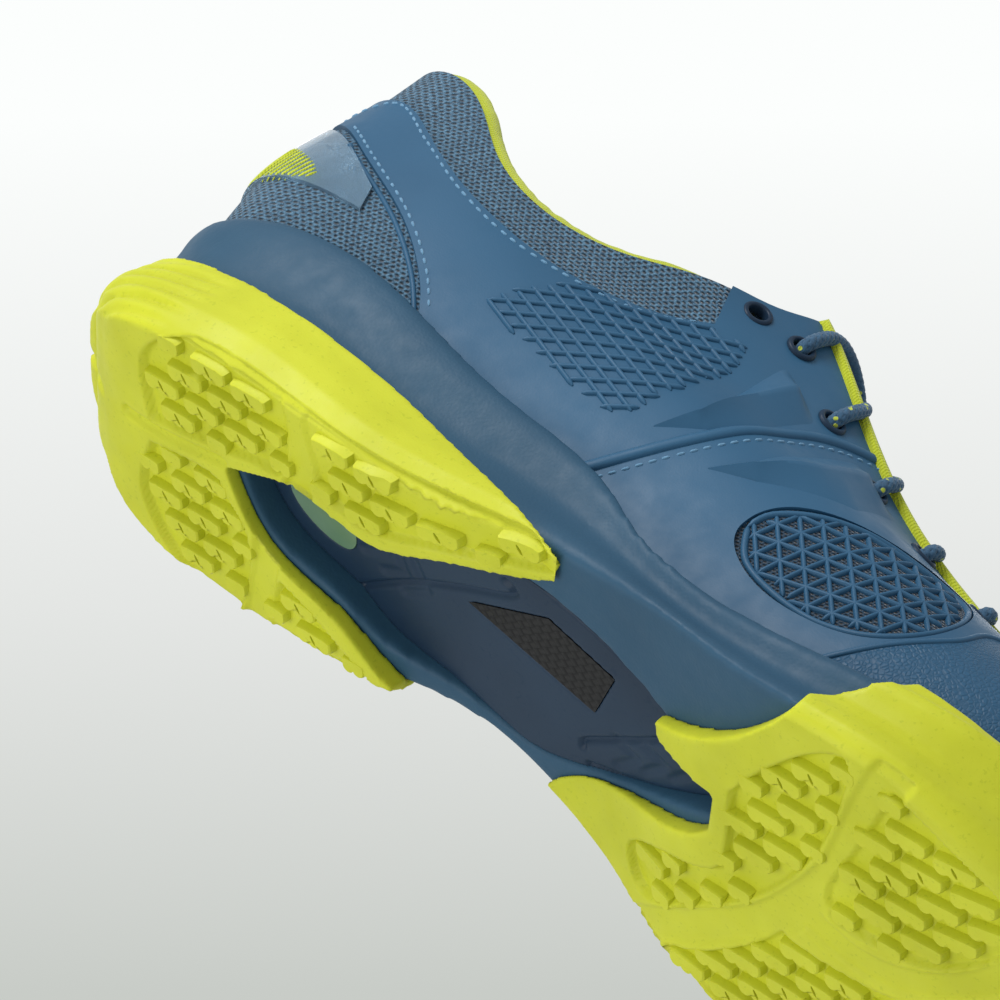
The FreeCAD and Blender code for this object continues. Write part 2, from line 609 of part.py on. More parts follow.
def tongue_prism(inset, name):
    """The tongue's outline from above, a long tab with rounded rear corners."""
    side_y = half_tongue - inset
    rear_x = along(TONGUE_REAR) + inset
    front_x = along(TONGUE_FRONT) - inset
    left = THROAT_AXIS - side_y
    right = THROAT_AXIS + side_y
    bend = TONGUE_CORNER * (1 - math.sqrt(0.5))
    spots = [Vector(rear_x + TONGUE_CORNER, left, DEEP), Vector(front_x, left, DEEP),
             Vector(front_x, right, DEEP), Vector(rear_x + TONGUE_CORNER, right, DEEP),
             Vector(rear_x, right - TONGUE_CORNER, DEEP), Vector(rear_x, left + TONGUE_CORNER, DEEP)]
    edges = [
        Part.makeLine(spots[0], spots[1]),
        Part.makeLine(spots[1], spots[2]),
        Part.makeLine(spots[2], spots[3]),
        Part.Arc(spots[3], Vector(rear_x + bend, right - bend, DEEP), spots[4]).toShape(),
        Part.makeLine(spots[4], spots[5]),
        Part.Arc(spots[5], Vector(rear_x + bend, left + bend, DEEP), spots[0]).toShape(),
    ]
    return extrude(wire_object(edges, name + "Outline"), Vector(0, 0, 1), HIGH - DEEP, name)


# The underside is the upper surface moved back and down, so the pad thins out towards its side edges.
TONGUE_SHIFT = Vector(-0.45, 0, -0.9)
tongue_floor = doc.addObject("Part::Compound", "TongueFloor")
tongue_floor.Links = [tongue_roof]
tongue_floor.Placement.Base = TONGUE_SHIFT * size("tongue_thickness")
TONGUE_ZONE = corners([(100, 92), (235, 52), (235, 150), (100, 150)])
tongue_layer = cut(tongue_roof, tongue_floor, "TongueLayer")
tongue_slab = common(tongue_layer, side_prism(TONGUE_ZONE, "TongueZone"), "TongueSlab")
tongue_core = tongue_prism(size("binding_width"), "TongueCorePlan")
tongue_edge = tongue_prism(0.0, "TongueEdgePlan")
keep(common(tongue_slab, tongue_core, "TonguePad"), "tongue_pad")
binding_blank = common(tongue_slab, tongue_edge, "TongueBindingBlank")
keep(cut(binding_blank, tongue_core, "TongueBinding"), "tongue_binding")

# ---- lace --------------------------------------------------------------------------------------------
# The lace starts at the tip tucked in on the lateral side, crosses row by row down to the bar by the toe and
# comes back up to the tip tucked in on the medial side. Points are chosen along its real way: over the
# eyestay, across the throat, under the other eyestay's edge and up through the eyelet.
TAIL_LATERAL = [(187, -31.2, 47.5), (170, -30.2, 48.5), (152, -29.3, 50), (137, -27.4, 53.5),
                (126.5, -26.3, 61), (122.5, -24.8, 71.5), (123, -22.3, 81), (124.5, -19.4, 90),
                (124.5, -16.6, 97.7)]
TAIL_MEDIAL = [(187, 27.4, 47.5), (170, 26.6, 48.5), (152, 26, 50), (137, 24.4, 53.5),
               (126.5, 23.6, 61), (122.5, 22.3, 71.5), (123, 20.2, 81), (124.5, 18, 90),
               (124.5, 15.4, 97.7)]
# Per row: above the eyelet, above the eyestay's edge, below the edge and below the eyelet.
OVER = {"lateral": [(126.6, -24.3, 100.7), (144.6, -24.1, 89.1), (162.6, -22.9, 81.4),
                    (180.6, -22.5, 74.9), (198.5, -21.2, 70.9), (216.4, -21.1, 67.1)],
        "medial": [(126.6, 22.8, 101.2), (144.6, 22.7, 90.7), (162.7, 21.5, 82.9),
                   (180.6, 21.3, 75.5), (198.5, 20, 70.9), (216.5, 20, 66.5)]}
EDGE_OVER = {"lateral": [(126.8, -16, 114), (144.8, -16.1, 101.6), (162.7, -16.1, 89.2),
                         (180.6, -15.9, 79.8), (198.5, -15.6, 73.6), (216.4, -15.4, 69.1)],
             "medial": [(126.8, 14.6, 112.6), (144.8, 14.6, 100.9), (162.8, 14.5, 89.5),
                        (180.7, 14.3, 80.4), (198.5, 14.2, 73.9), (216.4, 14.1, 69.1)]}
EDGE_UNDER = {"lateral": [None, (141.8, -10.9, 97.7), (160, -10.9, 85), (178.3, -11.2, 74.7),
                          (196.7, -12.2, 67.4)],
              "medial": [None, (141.8, 9.8, 96.5), (159.8, 10.1, 84.6), (178.2, 10.6, 74.8),
                         (196.7, 11, 67.7)]}
UNDER = {"lateral": [None, (142.3, -17, 85.2), (160.3, -16.6, 76.1), (178.5, -17.6, 68.3),
                     (196.7, -17.4, 63.5), (214.9, -17.8, 59.4)],
         "medial": [None, (142.3, 15.6, 86.6), (160.2, 15.2, 77.8), (178.4, 15.8, 69.5),
                    (196.6, 15.5, 64), (214.8, 15.7, 59.3)]}
# Where two strands cross: the upper and the lower one, between each row and the next.
CROSS_HIGH = [(134.2, -0.7, 114.2), (152, -0.7, 101.4), (170.2, -0.7, 89.2), (188.4, -0.7, 79.5),
              (206.6, -0.7, 72)]
CROSS_LOW = [(132.3, -0.7, 109.6), (149.6, -0.9, 97.6), (168, -0.9, 85.3), (186.4, -0.8, 75.5),
             (205, -0.8, 67.8)]
BAR = (214.3, -0.7, 65.2)
TOP_ROW = 0
BAR_ROW = 5
other = {"lateral": "medial", "medial": "lateral"}


def strand_down(start):
    """The points from the top row to the bar, starting over the eyestay of the given side."""
    points = [OVER[start][TOP_ROW], EDGE_OVER[start][TOP_ROW]]
    side = start
    for row in range(TOP_ROW, BAR_ROW):
        goes_high = (row % 2 == 0) == (start == "lateral")
        side = other[side]
        points.append(CROSS_HIGH[row] if goes_high else CROSS_LOW[row])
        points += [EDGE_OVER[side][row + 1], OVER[side][row + 1], UNDER[side][row + 1]]
        if row + 1 < BAR_ROW:
            points.append(EDGE_UNDER[side][row + 1])
    return points


lace_points = TAIL_LATERAL + strand_down("lateral") + [BAR] + (TAIL_MEDIAL + strand_down("medial"))[::-1]
lace_spots = [Vector(along(x), across(y), up(z)) for x, y, z in lace_points]
LACE_BEND = 0.45


def tangent_path(points):
    """Straight runs joined by tangent arcs, each as large as its shorter run allows."""
    edges = []
    radii = []
    start = points[0]
    for before, corner, after in zip(points, points[1:], points[2:]):
        way_in = (corner - before).normalize()
        way_out = (after - corner).normalize()
        half_turn = way_in.getAngle(way_out) / 2
        setback = LACE_BEND * min(corner.distanceToPoint(before), after.distanceToPoint(corner))
        radius = setback / math.tan(half_turn)
        arc_start = corner - way_in * setback
        arc_end = corner + way_out * setback
        inward = (way_out - way_in).normalize()
        middle = corner + inward * (radius / math.cos(half_turn) - radius)
        edges.append(Part.LineSegment(start, arc_start).toShape())
        edges.append(Part.Arc(arc_start, middle, arc_end).toShape())
        radii.append(radius)
        start = arc_end
    edges.append(Part.LineSegment(start, points[-1]).toShape())
    return Part.Wire(edges), radii


lace_wire, lace_radii = tangent_path(lace_spots)
lace_spine = doc.addObject("Part::Feature", "LaceSpine")
lace_spine.Shape = lace_wire
lace_profile = doc.addObject("Part::Circle", "LaceProfile")
lace_profile.setExpression("Radius", "Sizes.lace_diameter / 2")
first_run = (lace_spots[1] - lace_spots[0]).normalize()
lace_profile.Placement = FreeCAD.Placement(lace_spots[0], FreeCAD.Rotation(Vector(0, 0, 1), first_run))
lace = doc.addObject("Part::Sweep", "Lace")
lace.Sections = [lace_profile]
lace.Spine = (lace_spine, [f"Edge{number + 1}" for number in range(len(lace_wire.Edges))])
lace.Solid = True
lace.Frenet = False
keep(lace, "lace")
print("lace bends from", round(min(lace_radii), 1), "to", round(max(lace_radii), 1), "mm radius")


def aglet(tip, beyond, name):
    """The hard tip pressed on the end of the lace, in line with its last run."""
    barrel = doc.addObject("Part::Cylinder", name)
    barrel.setExpression("Radius", "Sizes.aglet_diameter / 2")
    barrel.setExpression("Height", "Sizes.aglet_length")
    barrel.Placement = FreeCAD.Placement(tip, FreeCAD.Rotation(Vector(0, 0, 1), (tip - beyond).normalize()))
    return barrel


aglets = doc.addObject("Part::Compound", "LaceAglets")
aglets.Links = [aglet(lace_spots[0], lace_spots[1], "AgletLateral"),
                aglet(lace_spots[-1], lace_spots[-2], "AgletMedial")]
keep(aglets, "lace_aglets")

# ---- check and write ---------------------------------------------------------------------------------
doc.recompute()
failed = [obj.Name for obj in doc.Objects if {"Invalid", "Error"} & set(obj.State)]
failed += [obj.Label for obj in pieces
           if obj.Shape.isNull() or not obj.Shape.isValid() or not obj.Shape.Solids]
if failed:
    raise RuntimeError("failed: " + ", ".join(failed))
lace_section = math.pi * (size("lace_diameter") / 2) ** 2
print("lace length", round(lace_wire.Length, 1), "mm, volume share",
      round(lace.Shape.Volume / (lace_section * lace_wire.Length), 4))
os.makedirs("parts", exist_ok=True)
for obj in pieces:
    obj.Shape.exportStep(os.path.join("parts", obj.Label + ".step"))
print(len(pieces), "pieces written")
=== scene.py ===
# Court shoe, right foot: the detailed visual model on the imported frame.
# Design points are in millimetres on the base last; spot() turns them into metres in the frame.
import bpy
import bmesh
import math
import numpy as np
from mathutils import Matrix, Vector
from mathutils.bvhtree import BVHTree


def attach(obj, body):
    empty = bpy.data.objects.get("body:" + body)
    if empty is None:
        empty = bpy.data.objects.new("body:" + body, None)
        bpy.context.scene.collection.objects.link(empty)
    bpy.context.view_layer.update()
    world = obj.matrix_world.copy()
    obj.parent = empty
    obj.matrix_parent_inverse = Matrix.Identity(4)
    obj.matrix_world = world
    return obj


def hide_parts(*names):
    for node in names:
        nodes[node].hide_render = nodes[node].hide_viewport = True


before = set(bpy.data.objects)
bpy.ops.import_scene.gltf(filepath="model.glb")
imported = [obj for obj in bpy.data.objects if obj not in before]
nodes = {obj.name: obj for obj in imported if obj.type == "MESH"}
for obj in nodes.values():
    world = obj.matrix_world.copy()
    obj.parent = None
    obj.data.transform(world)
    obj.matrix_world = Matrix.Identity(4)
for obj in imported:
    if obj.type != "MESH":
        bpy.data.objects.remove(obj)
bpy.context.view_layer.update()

bpy.ops.object.select_all(action="DESELECT")
mm = 0.001
heelShift = 147.5
sideShift = 2.5


def spot(x, y, z):
    return Vector(((x - heelShift) * mm, (y + sideShift) * mm, z * mm))


# Camera, backdrop and light.
view = {"azimuth": 25.44, "elevation": -32.26, "roll": 49.32, "focalPixels": 4634.0, "distance": 0.96026,
        "aim": (0.0, 0.0025, 0.045), "aimPixel": (703.8, 613.2)}


def viewAxes(azimuth, elevation, roll):
    a, e, r = (math.radians(angle) for angle in (azimuth, elevation, roll))
    back = Vector((math.sin(a) * math.cos(e), -math.cos(a) * math.cos(e), math.sin(e)))
    right = Vector((math.cos(a), math.sin(a), 0))
    up = back.cross(right)
    turnedRight = math.cos(r) * right + math.sin(r) * up
    turnedUp = -math.sin(r) * right + math.cos(r) * up
    return turnedRight, turnedUp, back


def placeCamera():
    right, up, back = viewAxes(view["azimuth"], view["elevation"], view["roll"])
    eye = Vector(view["aim"]) + back * view["distance"]
    offX = 500 - view["aimPixel"][0]
    offY = view["aimPixel"][1] - 500
    look = (-back * view["focalPixels"] + right * offX + up * offY).normalized()
    newBack = -look
    newRight = (right - newBack * right.dot(newBack)).normalized()
    newUp = newBack.cross(newRight)
    bpy.ops.object.camera_add(location=eye)
    camera = bpy.context.object
    camera.name = "Camera"
    camera.rotation_euler = Matrix((newRight, newUp, newBack)).transposed().to_euler()
    camera.data.sensor_width = 36
    camera.data.lens = 36 * view["focalPixels"] / 1000
    camera.data.clip_end = 30
    bpy.context.scene.camera = camera
    return newRight, newUp, newBack, eye


camRight, camUp, camBack, camEye = placeCamera()


def linear(r, g, b):
    values = []
    for channel in (r, g, b):
        share = channel / 255
        values.append(share / 12.92 if share <= 0.04045 else ((share + 0.055) / 1.055) ** 2.4)
    return (*values, 1.0)


# Materials.
# Builds one material's nodes; every method returns an output socket.
class Maker:
    def __init__(self, name):
        self.material = bpy.data.materials.new(name)
        self.material.use_nodes = True
        self.tree = self.material.node_tree
        self.shader = self.tree.nodes["Principled BSDF"]
        self.coords = self.tree.nodes.new("ShaderNodeTexCoord").outputs["Object"]

    def node(self, kind, **settings):
        made = self.tree.nodes.new(kind)
        for key, value in settings.items():
            setattr(made, key, value)
        return made

    def put(self, socket, value):
        if isinstance(value, bpy.types.NodeSocket):
            self.tree.links.new(value, socket)
        else:
            socket.default_value = value

    def math(self, operation, a, b=0.0, c=0.0, clamp=False):
        made = self.node("ShaderNodeMath", operation=operation, use_clamp=clamp)
        for socket, value in zip(made.inputs, (a, b, c)):
            self.put(socket, value)
        return made.outputs[0]

    def axes(self, source=None):
        made = self.node("ShaderNodeSeparateXYZ")
        self.put(made.inputs[0], source or self.coords)
        return made.outputs

    def join(self, x, y, z=0.0):
        made = self.node("ShaderNodeCombineXYZ")
        for socket, value in zip(made.inputs, (x, y, z)):
            self.put(socket, value)
        return made.outputs[0]

    def noise(self, scale, detail=4.0, rough=0.55, where=None, distortion=0.0):
        made = self.node("ShaderNodeTexNoise")
        self.put(made.inputs["Vector"], where or self.coords)
        made.inputs["Scale"].default_value = scale
        made.inputs["Detail"].default_value = detail
        made.inputs["Roughness"].default_value = rough
        made.inputs["Distortion"].default_value = distortion
        return made.outputs["Fac"]

    def cells(self, scale, feature="F1", where=None, randomness=1.0, output="Distance"):
        made = self.node("ShaderNodeTexVoronoi", feature=feature)
        self.put(made.inputs["Vector"], where or self.coords)
        made.inputs["Scale"].default_value = scale
        made.inputs["Randomness"].default_value = randomness
        return made.outputs[output]

    def range(self, value, low, high, toLow=0.0, toHigh=1.0):
        made = self.node("ShaderNodeMapRange", clamp=True)
        for socket, given in zip(made.inputs, (value, low, high, toLow, toHigh)):
            self.put(socket, given)
        return made.outputs[0]

    def mix(self, share, a, b):
        made = self.node("ShaderNodeMix", data_type="RGBA")
        self.put(made.inputs[0], share)
        self.put(made.inputs[6], a)
        self.put(made.inputs[7], b)
        return made.outputs[2]

    def bump(self, height, distance, strength=1.0, under=None):
        made = self.node("ShaderNodeBump")
        made.inputs["Strength"].default_value = strength
        made.inputs["Distance"].default_value = distance
        self.put(made.inputs["Height"], height)
        if under is not None:
            self.put(made.inputs["Normal"], under)
        return made.outputs[0]

    def stretched(self, factors):
        made = self.node("ShaderNodeMapping")
        self.put(made.inputs["Vector"], self.coords)
        made.inputs["Scale"].default_value = factors
        return made.outputs[0]

    # Distance round the heel and along the sides, and height, so a weave runs on without a break.
    def around(self, middleX=-0.095, radius=0.03):
        x, y, z = self.axes()
        ahead = self.math("SUBTRACT", x, middleX)
        turn = self.math("ARCTAN2", self.math("ABSOLUTE", y), self.math("MULTIPLY", ahead, -1.0))
        bend = self.math("MULTIPLY", self.math("MINIMUM", turn, math.pi / 2), radius)
        straight = self.math("MAXIMUM", ahead, 0.0)
        return self.join(self.math("ADD", bend, straight), z)

    def done(self, colour, rough, normal=None, **direct):
        self.put(self.shader.inputs["Base Color"], colour)
        self.put(self.shader.inputs["Roughness"], rough)
        if normal is not None:
            self.put(self.shader.inputs["Normal"], normal)
        for key, value in direct.items():
            self.shader.inputs[key.replace("_", " ")].default_value = value
        return self.material


limeBright = linear(212, 215, 54)
limeDeep = linear(196, 199, 44)
blueFoam = linear(48, 86, 112)
blueFoamDeep = linear(43, 78, 103)
blueFilm = linear(52, 97, 130)
blueFilmDeep = linear(44, 86, 117)
navy = linear(36, 58, 80)
navyDeep = linear(24, 42, 62)


def rubberMaterial():
    m = Maker("LimeRubber")
    cloud = m.noise(35, 3)
    speck = m.range(m.noise(900, 2), 0.62, 0.7)
    colour = m.mix(m.range(cloud, 0.35, 0.7), limeBright, limeDeep)
    colour = m.mix(m.math("MULTIPLY", speck, 0.25), colour, linear(150, 165, 20))
    grain = m.bump(m.noise(1600, 3), 0.00006, 0.5)
    return m.done(colour, m.range(m.noise(120, 3), 0.3, 0.7, 0.42, 0.58), m.bump(cloud, 0.0006, 0.2, grain),
                  Subsurface_Weight=0.03, Specular_IOR_Level=0.25)


def foamMaterial():
    m = Maker("BlueFoam")
    cloud = m.noise(22, 4)
    colour = m.mix(m.range(cloud, 0.3, 0.72), blueFoam, blueFoamDeep)
    skin = m.bump(m.cells(1500, "SMOOTH_F1"), 0.00007, 0.6)
    ripple = m.bump(m.noise(90, 2), 0.00012, 0.2, skin)
    return m.done(colour, m.range(m.noise(200, 3), 0.3, 0.7, 0.48, 0.6), ripple, Specular_IOR_Level=0.28)


def plasticMaterial(name, light, deep, rough=0.4):
    m = Maker(name)
    cloud = m.noise(18, 3)
    colour = m.mix(m.range(cloud, 0.3, 0.7), light, deep)
    scuff = m.range(m.noise(500, 5, where=m.coords, distortion=1.5), 0.58, 0.7)
    spark = m.bump(m.noise(2400, 2), 0.00004, 0.6)
    polish = m.math("ADD", m.math("MULTIPLY", scuff, 0.12), rough)
    return m.done(colour, polish, spark, Specular_IOR_Level=0.22)


def carbonMaterial():
    m = Maker("CarbonWeave")
    x, y, z = m.axes()
    u = m.math("MULTIPLY", m.math("ADD", x, y), 420.0)
    v = m.math("MULTIPLY", m.math("SUBTRACT", x, y), 420.0)
    cell = m.math("ADD", m.math("FLOOR", u), m.math("FLOOR", v))
    over = m.math("PINGPONG", cell, 1.0)
    towU = m.math("ABSOLUTE", m.math("SINE", m.math("MULTIPLY", u, math.pi)))
    towV = m.math("ABSOLUTE", m.math("SINE", m.math("MULTIPLY", v, math.pi)))
    height = m.math("ADD", m.math("MULTIPLY", towU, over),
                    m.math("MULTIPLY", towV, m.math("SUBTRACT", 1.0, over)))
    shine = m.math("MULTIPLY", height, m.range(over, 0, 1, 0.5, 1))
    colour = m.mix(shine, linear(12, 12, 14), linear(34, 33, 34))
    return m.done(colour, 0.42, m.bump(height, 0.0001, 0.8), Specular_IOR_Level=0.2)


def gelMaterial():
    m = Maker("GreenGel")
    cloud = m.noise(90, 3)
    colour = m.mix(cloud, linear(128, 178, 132), linear(178, 212, 184))
    return m.done(colour, m.range(cloud, 0, 1, 0.08, 0.18), m.bump(cloud, 0.0004, 0.4),
                  Transmission_Weight=0.55, IOR=1.4)


def filmMaterial(name="BlueFilm", grain=False):
    m = Maker(name)
    cloud = m.noise(14, 3)
    colour = m.mix(m.range(cloud, 0.3, 0.7), blueFilm, blueFilmDeep)
    brushed = m.bump(m.noise(1, 3, where=m.stretched((260, 3000, 2600))), 0.00003, 0.35)
    micro = m.bump(m.cells(2600, "SMOOTH_F1"), 0.00004, 0.35, brushed)
    if grain:
        crease = m.range(m.cells(950, "DISTANCE_TO_EDGE"), 0.0, 0.25)
        dome = m.math("ADD", crease, m.math("MULTIPLY", m.cells(600, "SMOOTH_F1"), 0.5))
        # Painted shade: the creases between the grain cells are painted darker.
        colour = m.mix(m.range(crease, 0, 1, 0.7, 1), linear(38, 72, 98), colour)
        micro = m.bump(dome, 0.00013, 0.8, m.bump(m.noise(60, 2), 0.0006, 0.3))
    return m.done(colour, m.range(m.noise(150, 3), 0.3, 0.7, 0.42, 0.56), micro, Specular_IOR_Level=0.28)


def knitMaterial(name, light, deep, holeShade, pitch=1.9, holeShadeShare=0.9):
    m = Maker(name)
    u, v, _ = m.axes(m.around())
    wander = m.math("MULTIPLY", m.noise(420, 2), 0.5)
    across = m.math("ADD", m.math("MULTIPLY", u, 1000 / pitch), wander)
    rise = m.math("ADD", m.math("MULTIPLY", v, 1000 / (pitch * 0.68)), wander)
    shifted = m.math("ADD", across, m.math("MULTIPLY", m.math("PINGPONG", m.math("FLOOR", rise), 1.0), 0.5))
    waveU = m.math("ABSOLUTE", m.math("SINE", m.math("MULTIPLY", shifted, math.pi)))
    waveV = m.math("ABSOLUTE", m.math("SINE", m.math("MULTIPLY", rise, math.pi)))
    loop = m.math("MULTIPLY", waveU, waveV)
    height = m.math("SUBTRACT", 1.0, m.math("POWER", loop, 1.6))
    yarn = m.noise(1700, 3)
    colour = m.mix(m.range(yarn, 0.35, 0.65), light, deep)
    # Painted shade: the sunk holes between the knit loops are painted near black.
    colour = m.mix(m.range(loop, 0.5, 0.82, 0.0, holeShadeShare), colour, holeShade)
    fuzz = m.bump(yarn, 0.00012, 0.6)
    return m.done(colour, 0.85, m.bump(height, 0.0006, 1.0, fuzz), Sheen_Weight=0.25, Sheen_Roughness=0.4)


def clothMaterial(name, light, deep, pitch=0.9, rough=0.85):
    m = Maker(name)
    x, y, z = m.axes()
    u = m.math("SINE", m.math("MULTIPLY", m.math("ADD", x, m.math("MULTIPLY", z, 0.35)), 6283 / pitch))
    v = m.math("SINE", m.math("MULTIPLY", m.math("ADD", y, m.math("MULTIPLY", z, 0.9)), 6283 / pitch))
    weave = m.math("MULTIPLY", u, v)
    cloud = m.noise(40, 4)
    colour = m.mix(m.range(cloud, 0.3, 0.7), light, deep)
    colour = m.mix(m.range(weave, -1, 1, 0, 0.35), colour, deep)
    fuzz = m.bump(m.noise(3000, 2), 0.00008, 0.5)
    return m.done(colour, rough, m.bump(weave, 0.00018, 0.7, fuzz), Sheen_Weight=0.3)


def yarnMaterial(name, light, deep, speck=None):
    m = Maker(name)
    colour = m.mix(m.noise(900, 4), light, deep)
    if speck is not None:
        colour = m.mix(m.range(m.cells(330, output="Distance"), 0.16, 0.2, 0.9, 0.0), colour, speck)
    return m.done(colour, 0.8, m.bump(m.noise(3500, 3), 0.0001, 0.7), Sheen_Weight=0.25)


def glossPaintedHighlightMaterial():
    m = Maker("GlossBluePaintedHighlight")
    swirl = m.noise(70, 5, 0.7, distortion=3.5)
    line = m.math("ABSOLUTE", m.math("SINE", m.math("MULTIPLY", swirl, 60.0)))
    # The swirl lines are print; both blues are raised to stand in for the glossy reflection on the patch, so
    # the colour is partly painted highlight.
    colour = m.mix(line, linear(158, 194, 218), linear(84, 128, 162))
    return m.done(colour, m.range(line, 0, 1, 0.14, 0.3), m.bump(line, 0.0003, 0.8),
                  Metallic=0.45, Coat_Weight=0.8, Coat_Roughness=0.08)


def clearMaterial():
    m = Maker("ClearTip")
    haze = m.noise(150, 3)
    colour = m.mix(haze, linear(200, 205, 205), linear(160, 170, 175))
    return m.done(colour, m.range(haze, 0, 1, 0.12, 0.25), m.bump(haze, 0.0002, 0.4),
                  Transmission_Weight=0.6, IOR=1.45)


limeRubber = rubberMaterial()
blueFoamSkin = foamMaterial()
navyPlastic = plasticMaterial("NavyPlastic", navy, navyDeep, 0.42)
carbonWeave = carbonMaterial()
greenGel = gelMaterial()
blueFilmSkin = filmMaterial()
grainedBlue = filmMaterial("GrainedBlue", grain=True)
glossBluePaintedHighlight = glossPaintedHighlightMaterial()
# The last colour of each knit is the painted shade in its holes.
blueKnit = knitMaterial("BlueKnit", linear(92, 134, 162), linear(40, 70, 94), linear(10, 24, 38), 1.6)
darkMesh = knitMaterial("DarkMesh", linear(44, 76, 100), linear(20, 42, 62), linear(5, 10, 18), 1.2)
limeFabric = clothMaterial("LimeFabric", linear(214, 224, 34), linear(182, 192, 22))
backingFabric = clothMaterial("BackingFabric", linear(60, 92, 118), linear(40, 66, 90))
boardFabric = clothMaterial("BoardFabric", linear(205, 205, 198), linear(176, 176, 170), 1.6)
sockFoam = plasticMaterial("SockFoam", linear(196, 214, 60), linear(170, 190, 40), 0.75)
sockFabric = clothMaterial("SockFabric", linear(58, 96, 126), linear(36, 66, 94), 1.1)
counterPlastic = plasticMaterial("CounterPlastic", linear(90, 95, 100), linear(70, 74, 80), 0.5)
laceYarn = yarnMaterial("LaceYarn", linear(64, 112, 146), linear(24, 52, 80), linear(206, 218, 60))
stitchBlue = yarnMaterial("StitchBlue", linear(118, 164, 196), linear(82, 128, 162))
clearTip = clearMaterial()
print("materials made")


# Mesh helpers.
def makeActive(obj):
    bpy.ops.object.select_all(action="DESELECT")
    bpy.context.view_layer.objects.active = obj
    obj.select_set(True)


def applyModifier(obj, kind, **settings):
    makeActive(obj)
    modifier = obj.modifiers.new(kind.title(), kind)
    for key, value in settings.items():
        setattr(modifier, key, value)
    bpy.ops.object.modifier_apply(modifier=modifier.name)


def tidyMesh(obj, angle=40):
    makeActive(obj)
    bpy.ops.object.mode_set(mode="EDIT")
    bpy.ops.mesh.select_all(action="SELECT")
    bpy.ops.mesh.remove_doubles(threshold=0.00002)
    bpy.ops.mesh.normals_make_consistent(inside=False)
    bpy.ops.object.mode_set(mode="OBJECT")
    if angle:
        bpy.ops.object.shade_smooth_by_angle(angle=math.radians(angle))
    else:
        bpy.ops.object.shade_smooth()


# A merged copy of CAD nodes as one new object.
def copyNode(name, *sources):
    made = bmesh.new()
    for source in sources:
        made.from_mesh(nodes[source].data)
    mesh = bpy.data.meshes.new(name)
    made.to_mesh(mesh)
    made.free()
    obj = bpy.data.objects.new(name, mesh)
    bpy.context.scene.collection.objects.link(obj)
    tidyMesh(obj)
    return obj


def treeOf(*names):
    gathered = bmesh.new()
    for name in names:
        gathered.from_mesh(nodes[name].data)
    tree = BVHTree.FromBMesh(gathered)
    gathered.free()
    return tree


def emptyData():
    return {"verts": [], "faces": []}


def objectFrom(name, data, angle=50):
    mesh = bpy.data.meshes.new(name)
    mesh.from_pydata([tuple(v) for v in data["verts"]], [], data["faces"])
    obj = bpy.data.objects.new(name, mesh)
    bpy.context.scene.collection.objects.link(obj)
    tidyMesh(obj, angle)
    return obj


def finished(obj, material, body="shoe", replaced=()):
    obj.data.materials.clear()
    obj.data.materials.append(material)
    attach(obj, body)
    if replaced:
        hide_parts(*replaced)
    return obj


# Bridges rings of equal length one after another.
def addLoops(data, rings, closedRun=False):
    start = len(data["verts"])
    count = len(rings[0])
    for ring in rings:
        data["verts"] += ring
    total = len(rings)
    for i in range(total if closedRun else total - 1):
        a = start + i * count
        b = start + ((i + 1) % total) * count
        for j in range(count):
            k = (j + 1) % count
            data["faces"].append((a + j, a + k, b + k, b + j))
    if not closedRun:
        data["faces"].append(tuple(start + j for j in reversed(range(count))))
        last = start + (total - 1) * count
        data["faces"].append(tuple(last + j for j in range(count)))


roundSection = [(-1, -0.4), (-0.92, 0.35), (-0.5, 0.88), (0, 1), (0.5, 0.88), (0.92, 0.35), (1, -0.4)]


# A raised rib on a surface: width and height in metres, a taper of 0 ends in a point.
def addRidge(data, points, normals, width, height, section=roundSection, taper=0.4):
    rings = []
    last = len(points) - 1
    for i, (point, normal) in enumerate(zip(points, normals)):
        ahead, behind = points[min(i + 1, last)], points[max(i - 1, 0)]
        side = (ahead - behind).cross(normal)
        side.normalize()
        share = taper if i in (0, last) else 1.0
        rings.append([point + side * (s * width / 2 * share) + normal * (t * height * share)
                      for s, t in section])
    addLoops(data, rings)


# A smooth line through 2D or 3D points, resampled evenly.
def throughPoints(points, spacing):
    fine = []
    padded = [points[0]] + list(points) + [points[-1]]
    for p0, p1, p2, p3 in zip(padded, padded[1:], padded[2:], padded[3:]):
        for step in range(12):
            t = step / 12
            fine.append([0.5 * (2 * b + (c - a) * t + (2 * a - 5 * b + 4 * c - d) * t * t
                                + (3 * b - a - 3 * c + d) * t ** 3) for a, b, c, d in zip(p0, p1, p2, p3)])
    fine.append(list(points[-1]))
    return evenly(fine, spacing)


def evenly(line, spacing):
    lengths = [0.0]
    for a, b in zip(line, line[1:]):
        lengths.append(lengths[-1] + math.dist(a, b))
    steps = max(2, round(lengths[-1] / spacing))
    result = []
    i = 0
    for step in range(steps + 1):
        goal = lengths[-1] * step / steps
        while i < len(line) - 2 and lengths[i + 1] < goal:
            i += 1
        gap = lengths[i + 1] - lengths[i] or 1.0
        share = (goal - lengths[i]) / gap
        result.append([a + (b - a) * share for a, b in zip(line[i], line[i + 1])])
    return result


def inside(polygon, x, y):
    hit = False
    for (xa, ya), (xb, yb) in zip(polygon, polygon[1:] + polygon[:1]):
        if (ya > y) != (yb > y) and x < (xb - xa) * (y - ya) / (yb - ya) + xa:
            hit = not hit
    return hit


outerNames = ("heel_knit", "collar_knit", "vamp_mesh", "quarter_overlay_lateral", "quarter_overlay_medial",
              "vamp_overlay_lateral", "vamp_overlay_medial", "toe_guard", "heel_patch")
upperTree = treeOf(*outerNames)


def castSide(x, z, side, tree=upperTree):
    point, normal, _, _ = tree.ray_cast(spot(x, side * 95, z), Vector((0, -side, 0)))
    return point, normal


